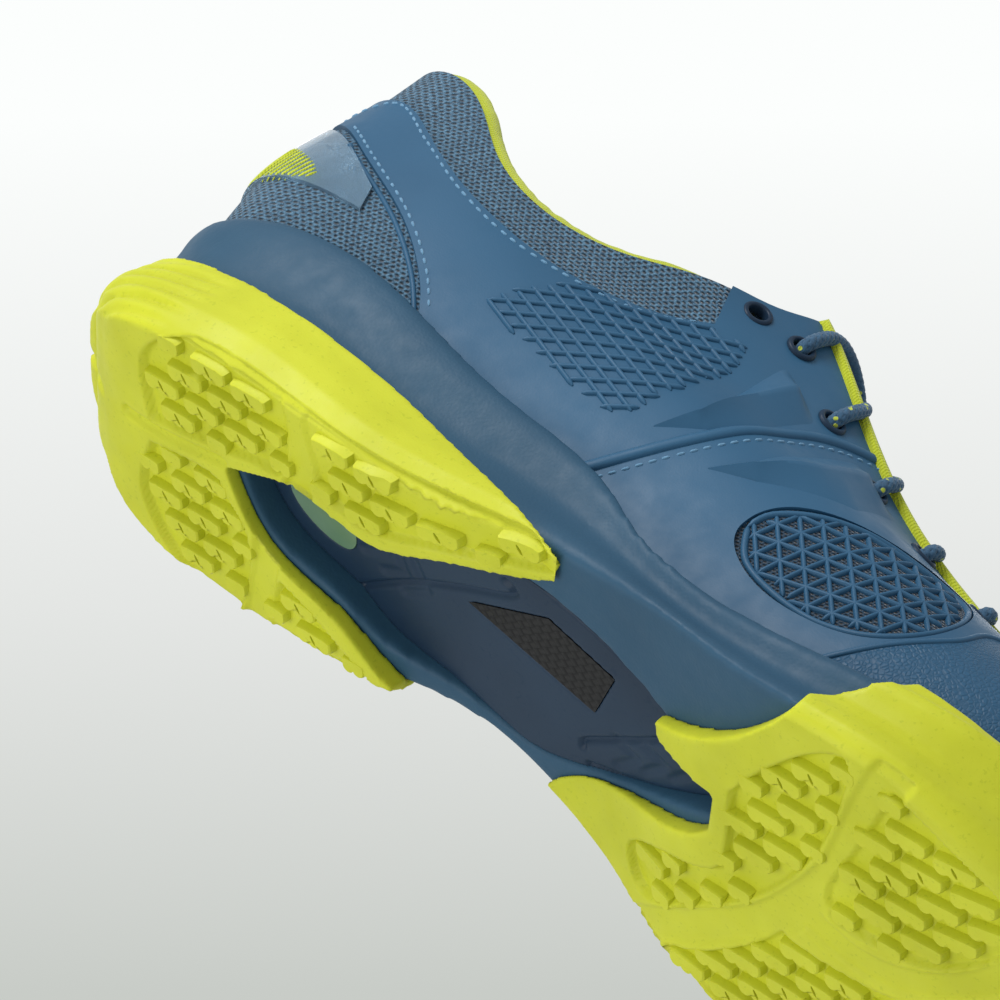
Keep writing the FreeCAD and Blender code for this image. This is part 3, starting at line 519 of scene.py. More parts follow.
def castDown(x, y, tree):
    point, normal, _, _ = tree.ray_cast(spot(x, y, 200), Vector((0, 0, -1)))
    return point, normal


# A line drawn on the side of the upper from (x, z) points.
def sidePath(points, side, spacing=1.5, tree=upperTree):
    line, ways = [], []
    for x, z in throughPoints(points, spacing):
        point, normal = castSide(x, z, side, tree)
        if point is not None:
            line.append(point)
            ways.append(normal)
    return line, ways


# Thread dashes along a surface line.
def addStitches(data, line, ways, length=2.1, gap=0.8, width=0.65, height=0.35):
    total = 0.0
    previous = line[0]
    dash, dashWays = [], []
    for point, normal in zip(line, ways):
        total += (point - previous).length / mm
        previous = point
        if total % (length + gap) < length:
            dash.append(point)
            dashWays.append(normal)
        elif dash:
            if len(dash) > 1:
                addRidge(data, dash, dashWays, width * mm, height * mm, taper=0.25)
            dash, dashWays = [], []


# Parallel ribs inside a side-view outline.
def addHatch(data, polygon, side, angle, pitch, width, height, spacing=1.0, tree=upperTree):
    xs = [p[0] for p in polygon]
    zs = [p[1] for p in polygon]
    midX, midZ = (min(xs) + max(xs)) / 2, (min(zs) + max(zs)) / 2
    reach = max(max(xs) - min(xs), max(zs) - min(zs))
    alongX, alongZ = math.cos(math.radians(angle)), math.sin(math.radians(angle))
    count = int(reach / pitch) + 1
    for number in range(-count, count + 1):
        startX = midX - alongZ * number * pitch
        startZ = midZ + alongX * number * pitch
        line, ways = [], []
        for step in range(int(-reach / spacing), int(reach / spacing) + 1):
            x = startX + alongX * step * spacing
            z = startZ + alongZ * step * spacing
            point, normal = castSide(x, z, side, tree) if inside(polygon, x, z) else (None, None)
            if point is not None:
                line.append(point)
                ways.append(normal)
            elif line:
                if len(line) > 3:
                    addRidge(data, line, ways, width * mm, height * mm)
                line, ways = [], []
        if len(line) > 3:
            addRidge(data, line, ways, width * mm, height * mm)


# Outsoles.
tread = {"voxel": 0.68, "depth": 2.1, "rim": 0.1, "edge": 1.0, "lugLength": 5.0, "lugWidth": 2.0,
         "pitchX": 11.4, "pitchY": 6.6, "turn": -8, "stagger": 0.42, "steepest": 3.2}
heelFields = [
    [(31, -5), (50, -10.5), (60, -14), (70, -18.5), (66.5, -40), (50, -39), (36, -34), (28, -22)],
    [(78.5, -19.5), (92, -18), (108, -23.5), (122, -28), (137, -35), (128, -40.5), (100, -41),
     (73.5, -40.5)],
    [(31, 1.5), (49, -2.5), (54, 2), (60.5, 12), (58, 36), (47, 37), (36, 32), (28, 18)],
    [(69, 16), (78, 19), (88, 24), (97, 30), (84, 34.5), (66, 36)],
]
foreFields = [
    [(189, -19), (196, -32), (206, -46), (215, -51), (214, -30), (209, -12), (201, 4), (190, 18),
     (177, 31), (170, 36), (165, 33), (163, 27), (166, 22), (174, 15.5), (188, 7), (190, -4)],
    [(206, 11), (214, 11), (228, 8.5), (241, 5), (251, 13), (257, 31), (240, 41), (215, 47), (195, 48),
     (177, 46), (190, 33), (200, 21)],
    [(225, -51), (234, -49), (250, -41), (258, -30), (251, -18), (241, -9), (230, -5), (219, -3.5),
     (214, -9), (219, -28)],
    [(246, 4), (256, -3), (264, -16), (268, -29), (277, -20), (284, 0), (281, 15), (268, 27), (257, 28)],
]
heelChannels = [([(69, -44), (74, -18), (66, 7), (62, 44)], 4.4, 1.5),
                ([(24, -2), (38, -4), (52, -8)], 2.2, 1.3)]
foreChannels = [([(226, -60), (221, -40), (217, -18), (209, 0), (201, 13), (186, 29), (168, 48)], 5.2, 1.0),
                ([(209, 0), (223, 3), (235, 0), (248, -9), (258, -22), (266, -40)], 4.6, 1.0)]


def fade(value, low, high):
    share = np.clip((value - low) / (high - low), 0, 1)
    return share * share * (3 - 2 * share)


def pathDistance(path, xs, ys, closedPath=False):
    ends = zip(path, path[1:] + path[:1]) if closedPath else zip(path, path[1:])
    nearest = np.full(len(xs), 1e9)
    for (xa, ya), (xb, yb) in ends:
        dx, dy = xb - xa, yb - ya
        share = np.clip(((xs - xa) * dx + (ys - ya) * dy) / (dx * dx + dy * dy), 0, 1)
        nearest = np.minimum(nearest, np.hypot(xs - xa - share * dx, ys - ya - share * dy))
    return nearest


def insideMany(polygon, xs, ys):
    hit = np.zeros(len(xs), dtype=bool)
    for (xa, ya), (xb, yb) in zip(polygon, polygon[1:] + polygon[:1]):
        if ya == yb:
            continue
        crossing = ((ya > ys) != (yb > ys)) & (xs < (xb - xa) * (ys - ya) / (yb - ya) + xa)
        hit ^= crossing
    return hit


def readVertices(obj):
    coords = np.empty(len(obj.data.vertices) * 3)
    obj.data.vertices.foreach_get("co", coords)
    ways = np.empty(len(obj.data.vertices) * 3)
    obj.data.vertex_normals.foreach_get("vector", ways)
    return coords.reshape(-1, 3), ways.reshape(-1, 3)


def writeVertices(obj, coords):
    obj.data.vertices.foreach_set("co", coords.ravel())
    obj.data.update()


def treadDepth(fields, channels, xs, ys):
    depth = np.full(len(xs), tread["rim"])
    for field in fields:
        smooth = [tuple(p) for p in throughPoints(field + [field[0]], 3.0)[:-1]]
        reach = np.where(insideMany(smooth, xs, ys), pathDistance(smooth, xs, ys, True), 0)
        depth = np.maximum(depth, tread["depth"] * fade(reach, 0.0, tread["edge"]))
    for path, half, deep in channels:
        smooth = [tuple(p) for p in throughPoints(path, 3.0)]
        depth = np.maximum(depth, deep * (1 - fade(pathDistance(smooth, xs, ys), half - 1.6, half)))
    return depth


def lugOutline(length, width, bumps=3):
    outline = []
    for step in range(13):
        t = step / 12
        bulge = abs(math.sin(bumps * math.pi * t)) ** 0.6
        outline.append((length * (1 - 2 * t) * 0.96, width * 0.62 + 1.05 * bulge))
    outline += [(-length, 0.1 * width), (-length * 0.98, -width * 0.8), (-length * 0.6, -width),
                (0, -width), (length * 0.6, -width), (length * 0.98, -width * 0.8), (length, 0.1 * width)]
    return outline


# One tread block standing down from the field, with a small slot in its face.
def addLug(data, tree, x, y, turn, outline, slot):
    cosT, sinT = math.cos(math.radians(turn)), math.sin(math.radians(turn))
    slotCos, slotSin = math.cos(math.radians(64)), math.sin(math.radians(64))

    def ring(points, rise):
        spots = []
        for px, py in points:
            worldX = x + px * cosT - py * sinT
            worldY = y + px * sinT + py * cosT
            hit, _, _, _ = tree.ray_cast(spot(worldX, worldY, -60), Vector((0, 0, 1)))
            ground = hit.z if hit is not None else None
            if ground is None:
                return None
            spots.append(Vector(((worldX - heelShift) * mm, (worldY + sideShift) * mm, ground + rise * mm)))
        return spots

    grown = [(px * 1.07, py * 1.07) for px, py in outline]
    inner = [(px * 0.93, py * 0.9) for px, py in outline]
    slotRing = []
    for px, py in outline:
        around = math.atan2(py, px) - math.radians(64)
        sx, sy = 1.5 * math.cos(around), 0.38 * math.sin(around)
        slotRing.append((sx * slotCos - sy * slotSin, sx * slotSin + sy * slotCos))
    rings = [ring(grown, tread["depth"] + 0.3), ring(outline, 0.35), ring(inner, 0.0)]
    if slot:
        rings += [ring(slotRing, 0.0), ring([(px * 0.8, py * 0.8) for px, py in slotRing], 0.9)]
    else:
        rings += [ring([(px * 0.5, py * 0.5) for px, py in outline], 0.02)]
    if None in rings:
        return
    heights = [v.z for v in rings[1]]
    if max(heights) - min(heights) > tread["steepest"] * mm:
        return
    addLoops(data, rings[::-1])


def addLugs(data, tree, fields, slotEvery, margin=0.5):
    outline = lugOutline(tread["lugLength"], tread["lugWidth"])
    short = lugOutline(tread["lugLength"] * 0.6, tread["lugWidth"] * 0.95, 2)
    number = 0
    for row in range(-10, 11):
        for column in range(-3, 31):
            x = column * tread["pitchX"] + row * tread["pitchX"] * tread["stagger"] - 8
            y = row * tread["pitchY"] - column * 0.5 + 4
            number += 1
            place = np.array([x]), np.array([y])
            for field in fields:
                if not inside(field, x, y):
                    continue
                edge = pathDistance(field, *place, True)[0]
                if edge > margin:
                    addLug(data, tree, x, y, tread["turn"], outline if edge > 2.6 else short,
                           edge > 2.6 and number % slotEvery == 0)


def buildOutsole(name, node, fields, channels, slotEvery, ribs=False):
    obj = copyNode(name, node)
    applyModifier(obj, "REMESH", mode="VOXEL", voxel_size=tread["voxel"] * mm)
    applyModifier(obj, "SMOOTH", factor=0.5, iterations=2)
    coords, ways = readVertices(obj)
    xs = coords[:, 0] / mm + heelShift
    ys = coords[:, 1] / mm - sideShift
    zs = coords[:, 2] / mm
    tree = treeOf(node)
    ground = np.full(len(xs), 1e3)
    for i in np.nonzero(ways[:, 2] < -0.3)[0]:
        hit, _, _, _ = tree.ray_cast(Vector((coords[i, 0], coords[i, 1], -0.06)), Vector((0, 0, 1)))
        if hit is not None:
            ground[i] = hit.z / mm
    lower = fade(-ways[:, 2], 0.3, 0.62) * (np.abs(zs - ground) < 1.2)
    coords[:, 2] += treadDepth(fields, channels, xs, ys) * lower * mm
    if ribs:
        rise = np.clip((zs - 2.5) / 21, 0, 1)
        wave = np.abs(np.sin(rise * math.pi * 5)) ** 0.55
        zone = fade(-(xs - 38), 0, 12) * fade(zs, 1.5, 3.5) * (1 - fade(zs, 22, 24))
        zone *= fade(-ways[:, 0] + np.abs(ways[:, 1]), 0.3, 0.7)
        middle = 1 - fade(np.abs(ys - 1), 1.2, 2.6)
        sink = zone * np.maximum((1 - wave) * 1.5, middle * 1.4)
        coords -= ways * (sink * mm)[:, None]
    writeVertices(obj, coords)
    data = emptyData()
    addLugs(data, tree, fields, slotEvery)
    lugs = objectFrom(name + "Lugs", data, 35)
    makeActive(obj)
    bpy.ops.object.shade_smooth()
    lugs.select_set(True)
    bpy.ops.object.join()
    return finished(obj, limeRubber, replaced=(node,))


buildOutsole("HeelTread", "heel_outsole", heelFields, heelChannels, 1, ribs=True)
buildOutsole("ForefootTread", "forefoot_outsole", foreFields, foreChannels, 3)
print("outsoles made")

# Midsole and shank.
foam = {"voxel": 0.9, "smoothing": 10, "keep": 0.6}
midsole = copyNode("MidsoleFoam", "midsole")
applyModifier(midsole, "REMESH", mode="VOXEL", voxel_size=foam["voxel"] * mm)
applyModifier(midsole, "SMOOTH", factor=0.5, iterations=foam["smoothing"])
applyModifier(midsole, "DECIMATE", ratio=foam["keep"])
makeActive(midsole)
bpy.ops.object.shade_smooth()
finished(midsole, blueFoamSkin, replaced=("midsole",))

shankGrooves = {"half": 0.7, "deep": 1.1, "paths": [
    [(81, 17), (96, 3), (110, -7), (123, -15), (125, -18), (122, -19)],
    [(97, 27), (111, 23), (126, 25), (134, 27), (140, 29)],
    [(133, -25), (148, -23), (162, -19), (172, -19)],
    [(148, 18), (165, 11), (184, 0.5)],
    [(146, 14), (147, 11), (165, -5), (166, -10), (184, -11)],
], "chevrons": [[(84, 2), (90, -2), (86, -7)], [(90, 4), (96, 0), (92, -6)], [(96, 6), (102, 1), (98, -5)],
                [(155, 12), (160, 6), (154, 4)], [(162, 8), (167, 2), (161, 0)],
                [(169, 4), (174, -2), (168, -4)]]}


def carveShank():
    obj = copyNode("ShankShell", "shank_plate")
    applyModifier(obj, "REMESH", mode="VOXEL", voxel_size=0.6 * mm)
    coords, ways = readVertices(obj)
    xs = coords[:, 0] / mm + heelShift
    ys = coords[:, 1] / mm - sideShift
    lower = fade(-ways[:, 2], 0.5, 0.9)
    sink = np.zeros(len(xs))
    for path in shankGrooves["paths"]:
        smooth = [tuple(p) for p in throughPoints(path, 2.0)]
        near = pathDistance(smooth, xs, ys)
        sink = np.maximum(sink, shankGrooves["deep"] * (1 - fade(near, 0.2, shankGrooves["half"] + 0.4)))
    for path in shankGrooves["chevrons"]:
        near = pathDistance(path, xs, ys)
        sink = np.maximum(sink, 0.5 * (1 - fade(near, 0.2, 1.8)))
    coords[:, 2] += lower * sink * mm
    writeVertices(obj, coords)
    makeActive(obj)
    bpy.ops.object.shade_smooth()
    finished(obj, navyPlastic, replaced=("shank_plate",))


carveShank()
print("midsole and shank made")

# Details on the side panels.
collarLine = [(3.6, 87), (16, 93), (33, 83.5), (51, 74.5), (70, 70.5), (91, 72.5), (102, 78), (111, 86)]
frontSeam = [(119, 32), (122.5, 36), (134.5, 54.5), (140.5, 66), (148.5, 83), (155, 91)]
rearSeam = [(12, 79), (26, 70), (46, 59), (60, 49), (69, 40)]
toeEdge = [(188, 18), (198, 30), (208, 43), (210, 54), (219, 65)]
lattice = {"outline": [(77, 53), (80, 62), (86, 70), (100, 78.5), (112, 85.5), (121, 88), (124.3, 80),
                       (123.3, 64.2), (119.2, 49.3), (115.8, 46.8), (101.5, 48), (88, 50)],
           "angles": (38, -18), "pitch": 3.4, "width": 1.2, "height": 0.7}
truss = {"outline": [(157, 42.5), (159, 48.5), (168, 56), (180, 61.5), (197, 62), (204, 52), (203, 40.5),
                     (194.5, 32), (181, 29.5), (164, 34)],
         "angles": (12, 72, -48), "pitch": 4.6, "width": 1.15, "height": 0.9}
wedges = {"high": 2.5, "rows": 46, "across": 8, "sunk": 0.5, "pieces": [
    ([(124.9, 49.8), (129.6, 58.9), (130.2, 66), (129.2, 78), (128.2, 92)],
     [(124.9, 49.8), (130.8, 58.9), (132.4, 72.3), (135.1, 88.2)],
     [(124.9, 49.8), (134.5, 57.3), (140.4, 68.8), (143.5, 83)]),
    ([(140.4, 48.5), (147, 57.7), (151, 70.7), (154.5, 84)],
     [(140.4, 48.5), (149, 55.6), (156, 65.6), (160, 81)],
     [(140.4, 48.5), (151, 52.8), (160.4, 58.6), (168.6, 64), (171, 77)])]}


# Evenly placed points on a broken line.
def alongPath(points, count):
    corners = np.array(points, float)
    run = np.concatenate([[0], np.cumsum(np.linalg.norm(np.diff(corners, axis=0), axis=1))])
    places = np.linspace(0, run[-1], count)
    return np.stack([np.interp(places, run, corners[:, i]) for i in range(2)], axis=1)


def addWedge(data, side, near, ridge, far):
    count, half = wedges["rows"], wedges["across"]
    edges = [alongPath(path, count) for path in (near, ridge, far)]
    sections = []
    for row in range(1, count):
        share = row / (count - 1)
        ends = min(1, share / 0.25, (1 - share) / 0.06)
        top, bottom = [], []
        for step in range(-half, half + 1):
            outer = edges[0 if step < 0 else 2][row]
            part = abs(step) / half
            x, z = outer * part + edges[1][row] * (1 - part)
            point, normal = castSide(x, z, side)
            if point is None:
                return
            top.append(point + normal * ((wedges["high"] * ends * (1 - part) - 0.08) * mm))
            bottom.append(point - normal * (wedges["sunk"] * mm))
        sections.append(top + bottom[::-1])
    addLoops(data, sections)


for word, side in (("Lateral", -1), ("Medial", 1)):
    lower = word.lower()
    emboss = emptyData()
    for angle in lattice["angles"]:
        addHatch(emboss, lattice["outline"], side, angle, lattice["pitch"], lattice["width"],
                 lattice["height"])
    for near, ridge, far in wedges["pieces"]:
        addWedge(emboss, side, near, ridge, far)
    for seam, width, high in ((frontSeam, 2.8, 0.9), (rearSeam, 1.2, 0.5)):
        line, ways = sidePath(seam, side)
        addRidge(emboss, line, ways, width * mm, high * mm)
    finished(objectFrom("PanelRelief" + word, emboss), blueFilmSkin)
    threads = emptyData()
    besideFront = [(x + 3.2, z - 0.7) for x, z in frontSeam]
    besideRear = [(x + 2, z + 2.4) for x, z in rearSeam]
    for path in (collarLine, besideFront, besideRear):
        line, ways = sidePath(path, side, 0.35)
        addStitches(threads, line, ways)
    finished(objectFrom("Stitching" + word, threads), stitchBlue)
    ribs = emptyData()
    meshTree = treeOf("vamp_mesh")
    for angle in truss["angles"]:
        addHatch(ribs, truss["outline"], side, angle, truss["pitch"], truss["width"], truss["height"],
                 tree=meshTree)
    finished(objectFrom("WindowTruss" + word, ribs), blueFilmSkin)
    frameRun = emptyData()
    line, ways = sidePath(truss["outline"] + truss["outline"][:1], side, tree=upperTree)
    addRidge(frameRun, line, ways, 1.6 * mm, 0.9 * mm)
    line, ways = sidePath(toeEdge, side)
    addRidge(frameRun, line, ways, 1.4 * mm, 0.5 * mm)
    finished(objectFrom("WindowFrame" + word, frameRun), blueFilmSkin)
print("side panels made")

# Heel patch stripes.
stripeEnds = {"low": [(3.2, 59.2), (10.3, 58.1), (15.3, 58.5), (19.5, 59.8)],
              "high": [(5.6, 71.6), (12, 67.8), (17.4, 64.9), (20.6, 62.2)], "count": 11}
stripes = emptyData()
for side in (-1, 1):
    lows = alongPath(stripeEnds["low"], stripeEnds["count"])
    highs = alongPath(stripeEnds["high"], stripeEnds["count"])
    for low, high in zip(lows, highs):
        line, ways = sidePath([tuple(low), tuple((low + high) / 2), tuple(high)], side, 1.0)
        addRidge(stripes, line, ways, 0.8 * mm, 0.3 * mm)
finished(objectFrom("PatchStripes", stripes), limeFabric)

# Eyelets.
eyelets = {"spots": [((114.5, -25.2, 98.7), (114.5, 23.8, 98.7), (0.2, 0.93, 0.3)),
                     ((126, -22.2, 99.9), (126, 20.8, 100.2), (0.25, 0.9, 0.38)),
                     ((144, -22.2, 88.0), (144, 20.8, 89.6), (0.3, 0.83, 0.5)),
                     ((162, -21.2, 79.9), (162, 19.8, 81.5), (0.3, 0.72, 0.6)),
                     ((180, -21.2, 73.2), (180, 19.8, 73.9), (0.25, 0.6, 0.75)),
                     ((198, -20.2, 68.9), (198, 18.8, 69.0), (0.25, 0.45, 0.87)),
                     ((216, -20.2, 65.0), (216, 18.8, 64.5), (0.2, 0.4, 0.88))],
           "radius": 2.25, "steps": 28,
           "profile": [(0, -1.8), (0, 0.3), (0.25, 0.65), (0.8, 0.7), (1.2, 0.35), (1.3, -0.2), (0.5, -0.5),
                       (0.4, -1.8)]}


# A rolled ring standing a little proud of the eyestay.
def addEyelet(data, centre, outwards):
    outwards = outwards.normalized()
    across = outwards.cross(Vector((0, 0, 1))).normalized()
    other = outwards.cross(across)
    rings = []
    for step in range(eyelets["steps"]):
        turn = 2 * math.pi * step / eyelets["steps"]
        way = across * math.cos(turn) + other * math.sin(turn)
        rings.append([centre + way * ((eyelets["radius"] + r) * mm) + outwards * (h * mm)
                      for r, h in eyelets["profile"]])
    addLoops(data, rings, closedRun=True)


rings = emptyData()
for lateralSpot, medialSpot, lean in eyelets["spots"]:
    for place, side in ((lateralSpot, -1), (medialSpot, 1)):
        addEyelet(rings, spot(*place), Vector((lean[0], side * lean[1], lean[2])))
finished(objectFrom("EyeletRings", rings), navyPlastic)

# Lime bead along the inner edge of each eyestay.
piping = {"xs": (106, 212), "half": (16.2, 14.6), "axis": -0.7, "width": 2.6, "height": 1.7}
bead = emptyData()
for side in (-1, 1):
    line, ways = [], []
    for step in range(61):
        share = step / 60
        x = piping["xs"][0] + (piping["xs"][1] - piping["xs"][0]) * share
        y = piping["axis"] + side * (piping["half"][0] + (piping["half"][1] - piping["half"][0]) * share)
        point, normal = castDown(x, y, upperTree)
        if point is not None:
            line.append(point)
            ways.append(normal)
    addRidge(bead, line, ways, piping["width"] * mm, piping["height"] * mm)
finished(objectFrom("ThroatPiping", bead), limeFabric)
print("eyelets made")

# Lace.
laceRoute = {
    "tails": {"lateral": [(187, -31.2, 47.5), (170, -30.2, 48.5), (152, -29.3, 50), (137, -27.4, 53.5),
                          (126.5, -26.3, 61), (122.5, -24.8, 71.5), (123, -22.3, 81), (124.5, -19.4, 90),
                          (124.5, -16.6, 97.7)],
              "medial": [(187, 27.4, 47.5), (170, 26.6, 48.5), (152, 26, 50), (137, 24.4, 53.5),
                         (126.5, 23.6, 61), (122.5, 22.3, 71.5), (123, 20.2, 81), (124.5, 18, 90),
                         (124.5, 15.4, 97.7)]},
    "over": {"lateral": [(126.6, -24.3, 100.7), (144.6, -24.1, 89.1), (162.6, -22.9, 81.4),
                         (180.6, -22.5, 74.9), (198.5, -21.2, 70.9), (216.4, -21.1, 67.1)],
             "medial": [(126.6, 22.8, 101.2), (144.6, 22.7, 90.7), (162.7, 21.5, 82.9),
                        (180.6, 21.3, 75.5), (198.5, 20, 70.9), (216.5, 20, 66.5)]},
    "edgeOver": {"lateral": [(126.8, -16, 114), (144.8, -16.1, 101.6), (162.7, -16.1, 89.2),
                             (180.6, -15.9, 79.8), (198.5, -15.6, 73.6), (216.4, -15.4, 69.1)],
                 "medial": [(126.8, 14.6, 112.6), (144.8, 14.6, 100.9), (162.8, 14.5, 89.5),
                            (180.7, 14.3, 80.4), (198.5, 14.2, 73.9), (216.4, 14.1, 69.1)]},
    "edgeUnder": {"lateral": [None, (141.8, -10.9, 97.7), (160, -10.9, 85), (178.3, -11.2, 74.7),
                              (196.7, -12.2, 67.4)],
                  "medial": [None, (141.8, 9.8, 96.5), (159.8, 10.1, 84.6), (178.2, 10.6, 74.8),
                             (196.7, 11, 67.7)]},
    "under": {"lateral": [None, (142.3, -17, 85.2), (160.3, -16.6, 76.1), (178.5, -17.6, 68.3),
                          (196.7, -17.4, 63.5), (214.9, -17.8, 59.4)],
              "medial": [None, (142.3, 15.6, 86.6), (160.2, 15.2, 77.8), (178.4, 15.8, 69.5),
                         (196.6, 15.5, 64), (214.8, 15.7, 59.3)]},
    "crossHigh": [(134.2, -0.7, 114.2), (152, -0.7, 101.4), (170.2, -0.7, 89.2), (188.4, -0.7, 79.5),
                  (206.6, -0.7, 72)],
    "crossLow": [(132.3, -0.7, 109.6), (149.6, -0.9, 97.6), (168, -0.9, 85.3), (186.4, -0.8, 75.5),
                 (205, -0.8, 67.8)],
    "bar": (214.3, -0.7, 65.2)}


def strandDown(start):
    other = {"lateral": "medial", "medial": "lateral"}
    points = [laceRoute["over"][start][0], laceRoute["edgeOver"][start][0]]
    side = start
    for row in range(5):
        goesHigh = (row % 2 == 0) == (start == "lateral")
        side = other[side]
        points.append(laceRoute["crossHigh" if goesHigh else "crossLow"][row])
        points += [laceRoute["edgeOver"][side][row + 1], laceRoute["over"][side][row + 1],
                   laceRoute["under"][side][row + 1]]
        if row < 4:
            points.append(laceRoute["edgeUnder"][side][row + 1])
    return points


# Points read from a NURBS curve with the route's points as its control points.
def splineLine(points, name):
    curve = bpy.data.curves.new(name, "CURVE")
    curve.dimensions = "3D"
    curve.resolution_u = 10
    spline = curve.splines.new("NURBS")
    spline.points.add(len(points) - 1)
    for control, point in zip(spline.points, points):
        control.co = (*point, 1.0)
    spline.order_u = 3
    spline.use_endpoint_u = True
    obj = bpy.data.objects.new(name, curve)
    bpy.context.scene.collection.objects.link(obj)
    mesh = bpy.data.meshes.new_from_object(obj)
    line = [tuple(v.co) for v in mesh.vertices]
    bpy.data.objects.remove(obj)
    return line


# Tangent, side and third way at each point, turning as little as possible.
def carriedFrames(line):
    points = [Vector(p) for p in line]
    side = Vector((0, 0, 1))
    frames = []
    for i, point in enumerate(points):
        tangent = (points[min(i + 1, len(points) - 1)] - points[max(i - 1, 0)]).normalized()
        side = (side - tangent * side.dot(tangent)).normalized()
        frames.append((point, tangent, side, tangent.cross(side)))
    return frames


braid = {"strands": 5, "pitch": 8.5, "radius": 1.25, "weave": 0.22, "yarnWide": 0.72, "yarnHigh": 0.45,
         "step": 0.85, "core": 1.15}


def buildLace():
    route = laceRoute["tails"]["lateral"] + strandDown("lateral") + [laceRoute["bar"]]
    route += (laceRoute["tails"]["medial"] + strandDown("medial"))[::-1]
    line = splineLine([spot(*point) for point in route], "LaceLine")
    frames = carriedFrames(evenly(line, braid["step"] * mm))
    data = emptyData()
    for hand in (-1, 1):
        for strand in range(braid["strands"]):
            start = 2 * math.pi * strand / braid["strands"]
            sections = []
            for i, (point, tangent, side, third) in enumerate(frames):
                run = i * braid["step"]
                turn = start + hand * 2 * math.pi * run / braid["pitch"]
                out = side * math.cos(turn) + third * math.sin(turn)
                wave = math.sin(braid["strands"] * 2 * math.pi * run / braid["pitch"] + strand * math.pi)
                centre = point + out * ((braid["radius"] + hand * braid["weave"] * wave) * mm)
                lean = math.atan(hand * 2 * math.pi * braid["radius"] / braid["pitch"])
                wide = tangent.cross(out) * math.cos(lean) * -1 + tangent * math.sin(lean)
                sections.append([centre + wide * (braid["yarnWide"] * mm * math.cos(a))
                                 + out * (braid["yarnHigh"] * mm * math.sin(a))
                                 for a in (0, 1.05, 2.09, 3.14, 4.19, 5.24)])
            addLoops(data, sections)
    core = [[point + (side * math.cos(a) + third * math.sin(a)) * (braid["core"] * mm)
             for a in np.linspace(0, 5.5, 8)]
            for point, tangent, side, third in frames[::3] + frames[-1:]]
    addLoops(data, core)
    lace = objectFrom("BraidedLace", data, None)
    finished(lace, laceYarn, replaced=("lace",))


buildLace()


def addTurned(data, base, way, profile, sides=20):
    across = way.cross(Vector((0, 1, 0))).normalized()
    other = way.cross(across)
    rings = []
    for along, radius in profile:
        rings.append([base + way * (along * mm) + (across * math.cos(2 * math.pi * i / sides)
                      + other * math.sin(2 * math.pi * i / sides)) * (radius * mm) for i in range(sides)])
    addLoops(data, rings)


tips = emptyData()
tipProfile = [(0, 1.9), (0.4, 2.15), (1.2, 2.2), (1.8, 2.05), (2.4, 2.2), (10, 2.2), (10.6, 2.05),
              (11.2, 2.2), (19.5, 2.15), (21.2, 1.8), (22, 1.1)]
for word in ("lateral", "medial"):
    tail = [spot(*point) for point in laceRoute["tails"][word][:2]]
    addTurned(tips, tail[0], (tail[0] - tail[1]).normalized(), tipProfile)
finished(objectFrom("LaceTips", tips), clearTip, replaced=("lace_aglets",))
print("lace made")

# Tongue.
# Remeshes a pad, lets cloth under pressure swell it a little, and keeps the result.
def puffUp(obj, voxel, pressure, cap, frames=20):
    applyModifier(obj, "REMESH", mode="VOXEL", voxel_size=voxel * mm)
    start, _ = readVertices(obj)
    cloth = obj.modifiers.new("Cloth", "CLOTH")
    cloth.settings.use_pressure = True
    cloth.settings.uniform_pressure_force = pressure
    cloth.settings.effector_weights.gravity = 0
    cloth.settings.quality = 4
    scene = bpy.context.scene
    for number in range(1, frames + 1):
        scene.frame_set(number)
    swollen = obj.evaluated_get(bpy.context.evaluated_depsgraph_get())
    coords = np.empty(len(swollen.data.vertices) * 3)
    swollen.data.vertices.foreach_get("co", coords)
    obj.modifiers.clear()
    scene.frame_set(1)
    move = coords.reshape(-1, 3) - start
    length = np.linalg.norm(move, axis=1)
    share = np.minimum(1, cap * mm / np.maximum(length, 1e-9))
    writeVertices(obj, start + move * share[:, None])
    applyModifier(obj, "SUBSURF", levels=1, render_levels=1)


tongue = {"voxel": 2.2, "pressure": 4.0, "swell": 0.5, "quickVoxel": 1.5, "ditchPitch": 11, "ditchDepth": 0.7,
          "half": 19.2, "edgeWidth": 3.4, "edgeHeight": 2.35, "edgeSunk": 2.0}
tonguePad = copyNode("TonguePadding", "tongue_pad")
puffUp(tonguePad, tongue["voxel"], tongue["pressure"], tongue["swell"])
tongueCoords, tongueWays = readVertices(tonguePad)
alongTongue = tongueCoords[:, 0] / mm + heelShift
channels = np.abs(np.sin(alongTongue * math.pi / tongue["ditchPitch"])) ** 0.35
ditch = (1 - channels) * tongue["ditchDepth"] * mm * (tongueWays[:, 2] > 0.2)
tongueCoords -= tongueWays * ditch[:, None]
writeVertices(tonguePad, tongueCoords)
makeActive(tonguePad)
bpy.ops.object.shade_smooth()
finished(tonguePad, blueKnit, body="tongue", replaced=("tongue_pad",))

tongueTree = treeOf("tongue_pad", "tongue_binding")
binding = emptyData()
halfTongue = tongue["half"]
outlineXY = [(226, -halfTongue)] + [(x, -halfTongue) for x in range(220, 126, -6)]
outlineXY += [(124, -halfTongue + 0.6), (120.5, -halfTongue + 3.5), (118.8, -halfTongue + 8)]
outlineXY += [(118.6, y) for y in (-8, -3, 2, 7)]
mirrored = [(x, -1.4 - y) for x, y in outlineXY[:-4][::-1]]
line, ways = [], []
for x, y in throughPoints(outlineXY + mirrored, 1.6):
    point, normal = castDown(x, y, tongueTree)
    if point is not None:
        line.append(point - normal * (tongue["edgeSunk"] * mm))
        ways.append(normal)
bindingSection = [(math.cos(a), math.sin(a)) for a in np.linspace(0, 2 * math.pi, 13)[:-1]]
addRidge(binding, line, ways, tongue["edgeWidth"] * mm, tongue["edgeHeight"] * mm, bindingSection, taper=0.6)
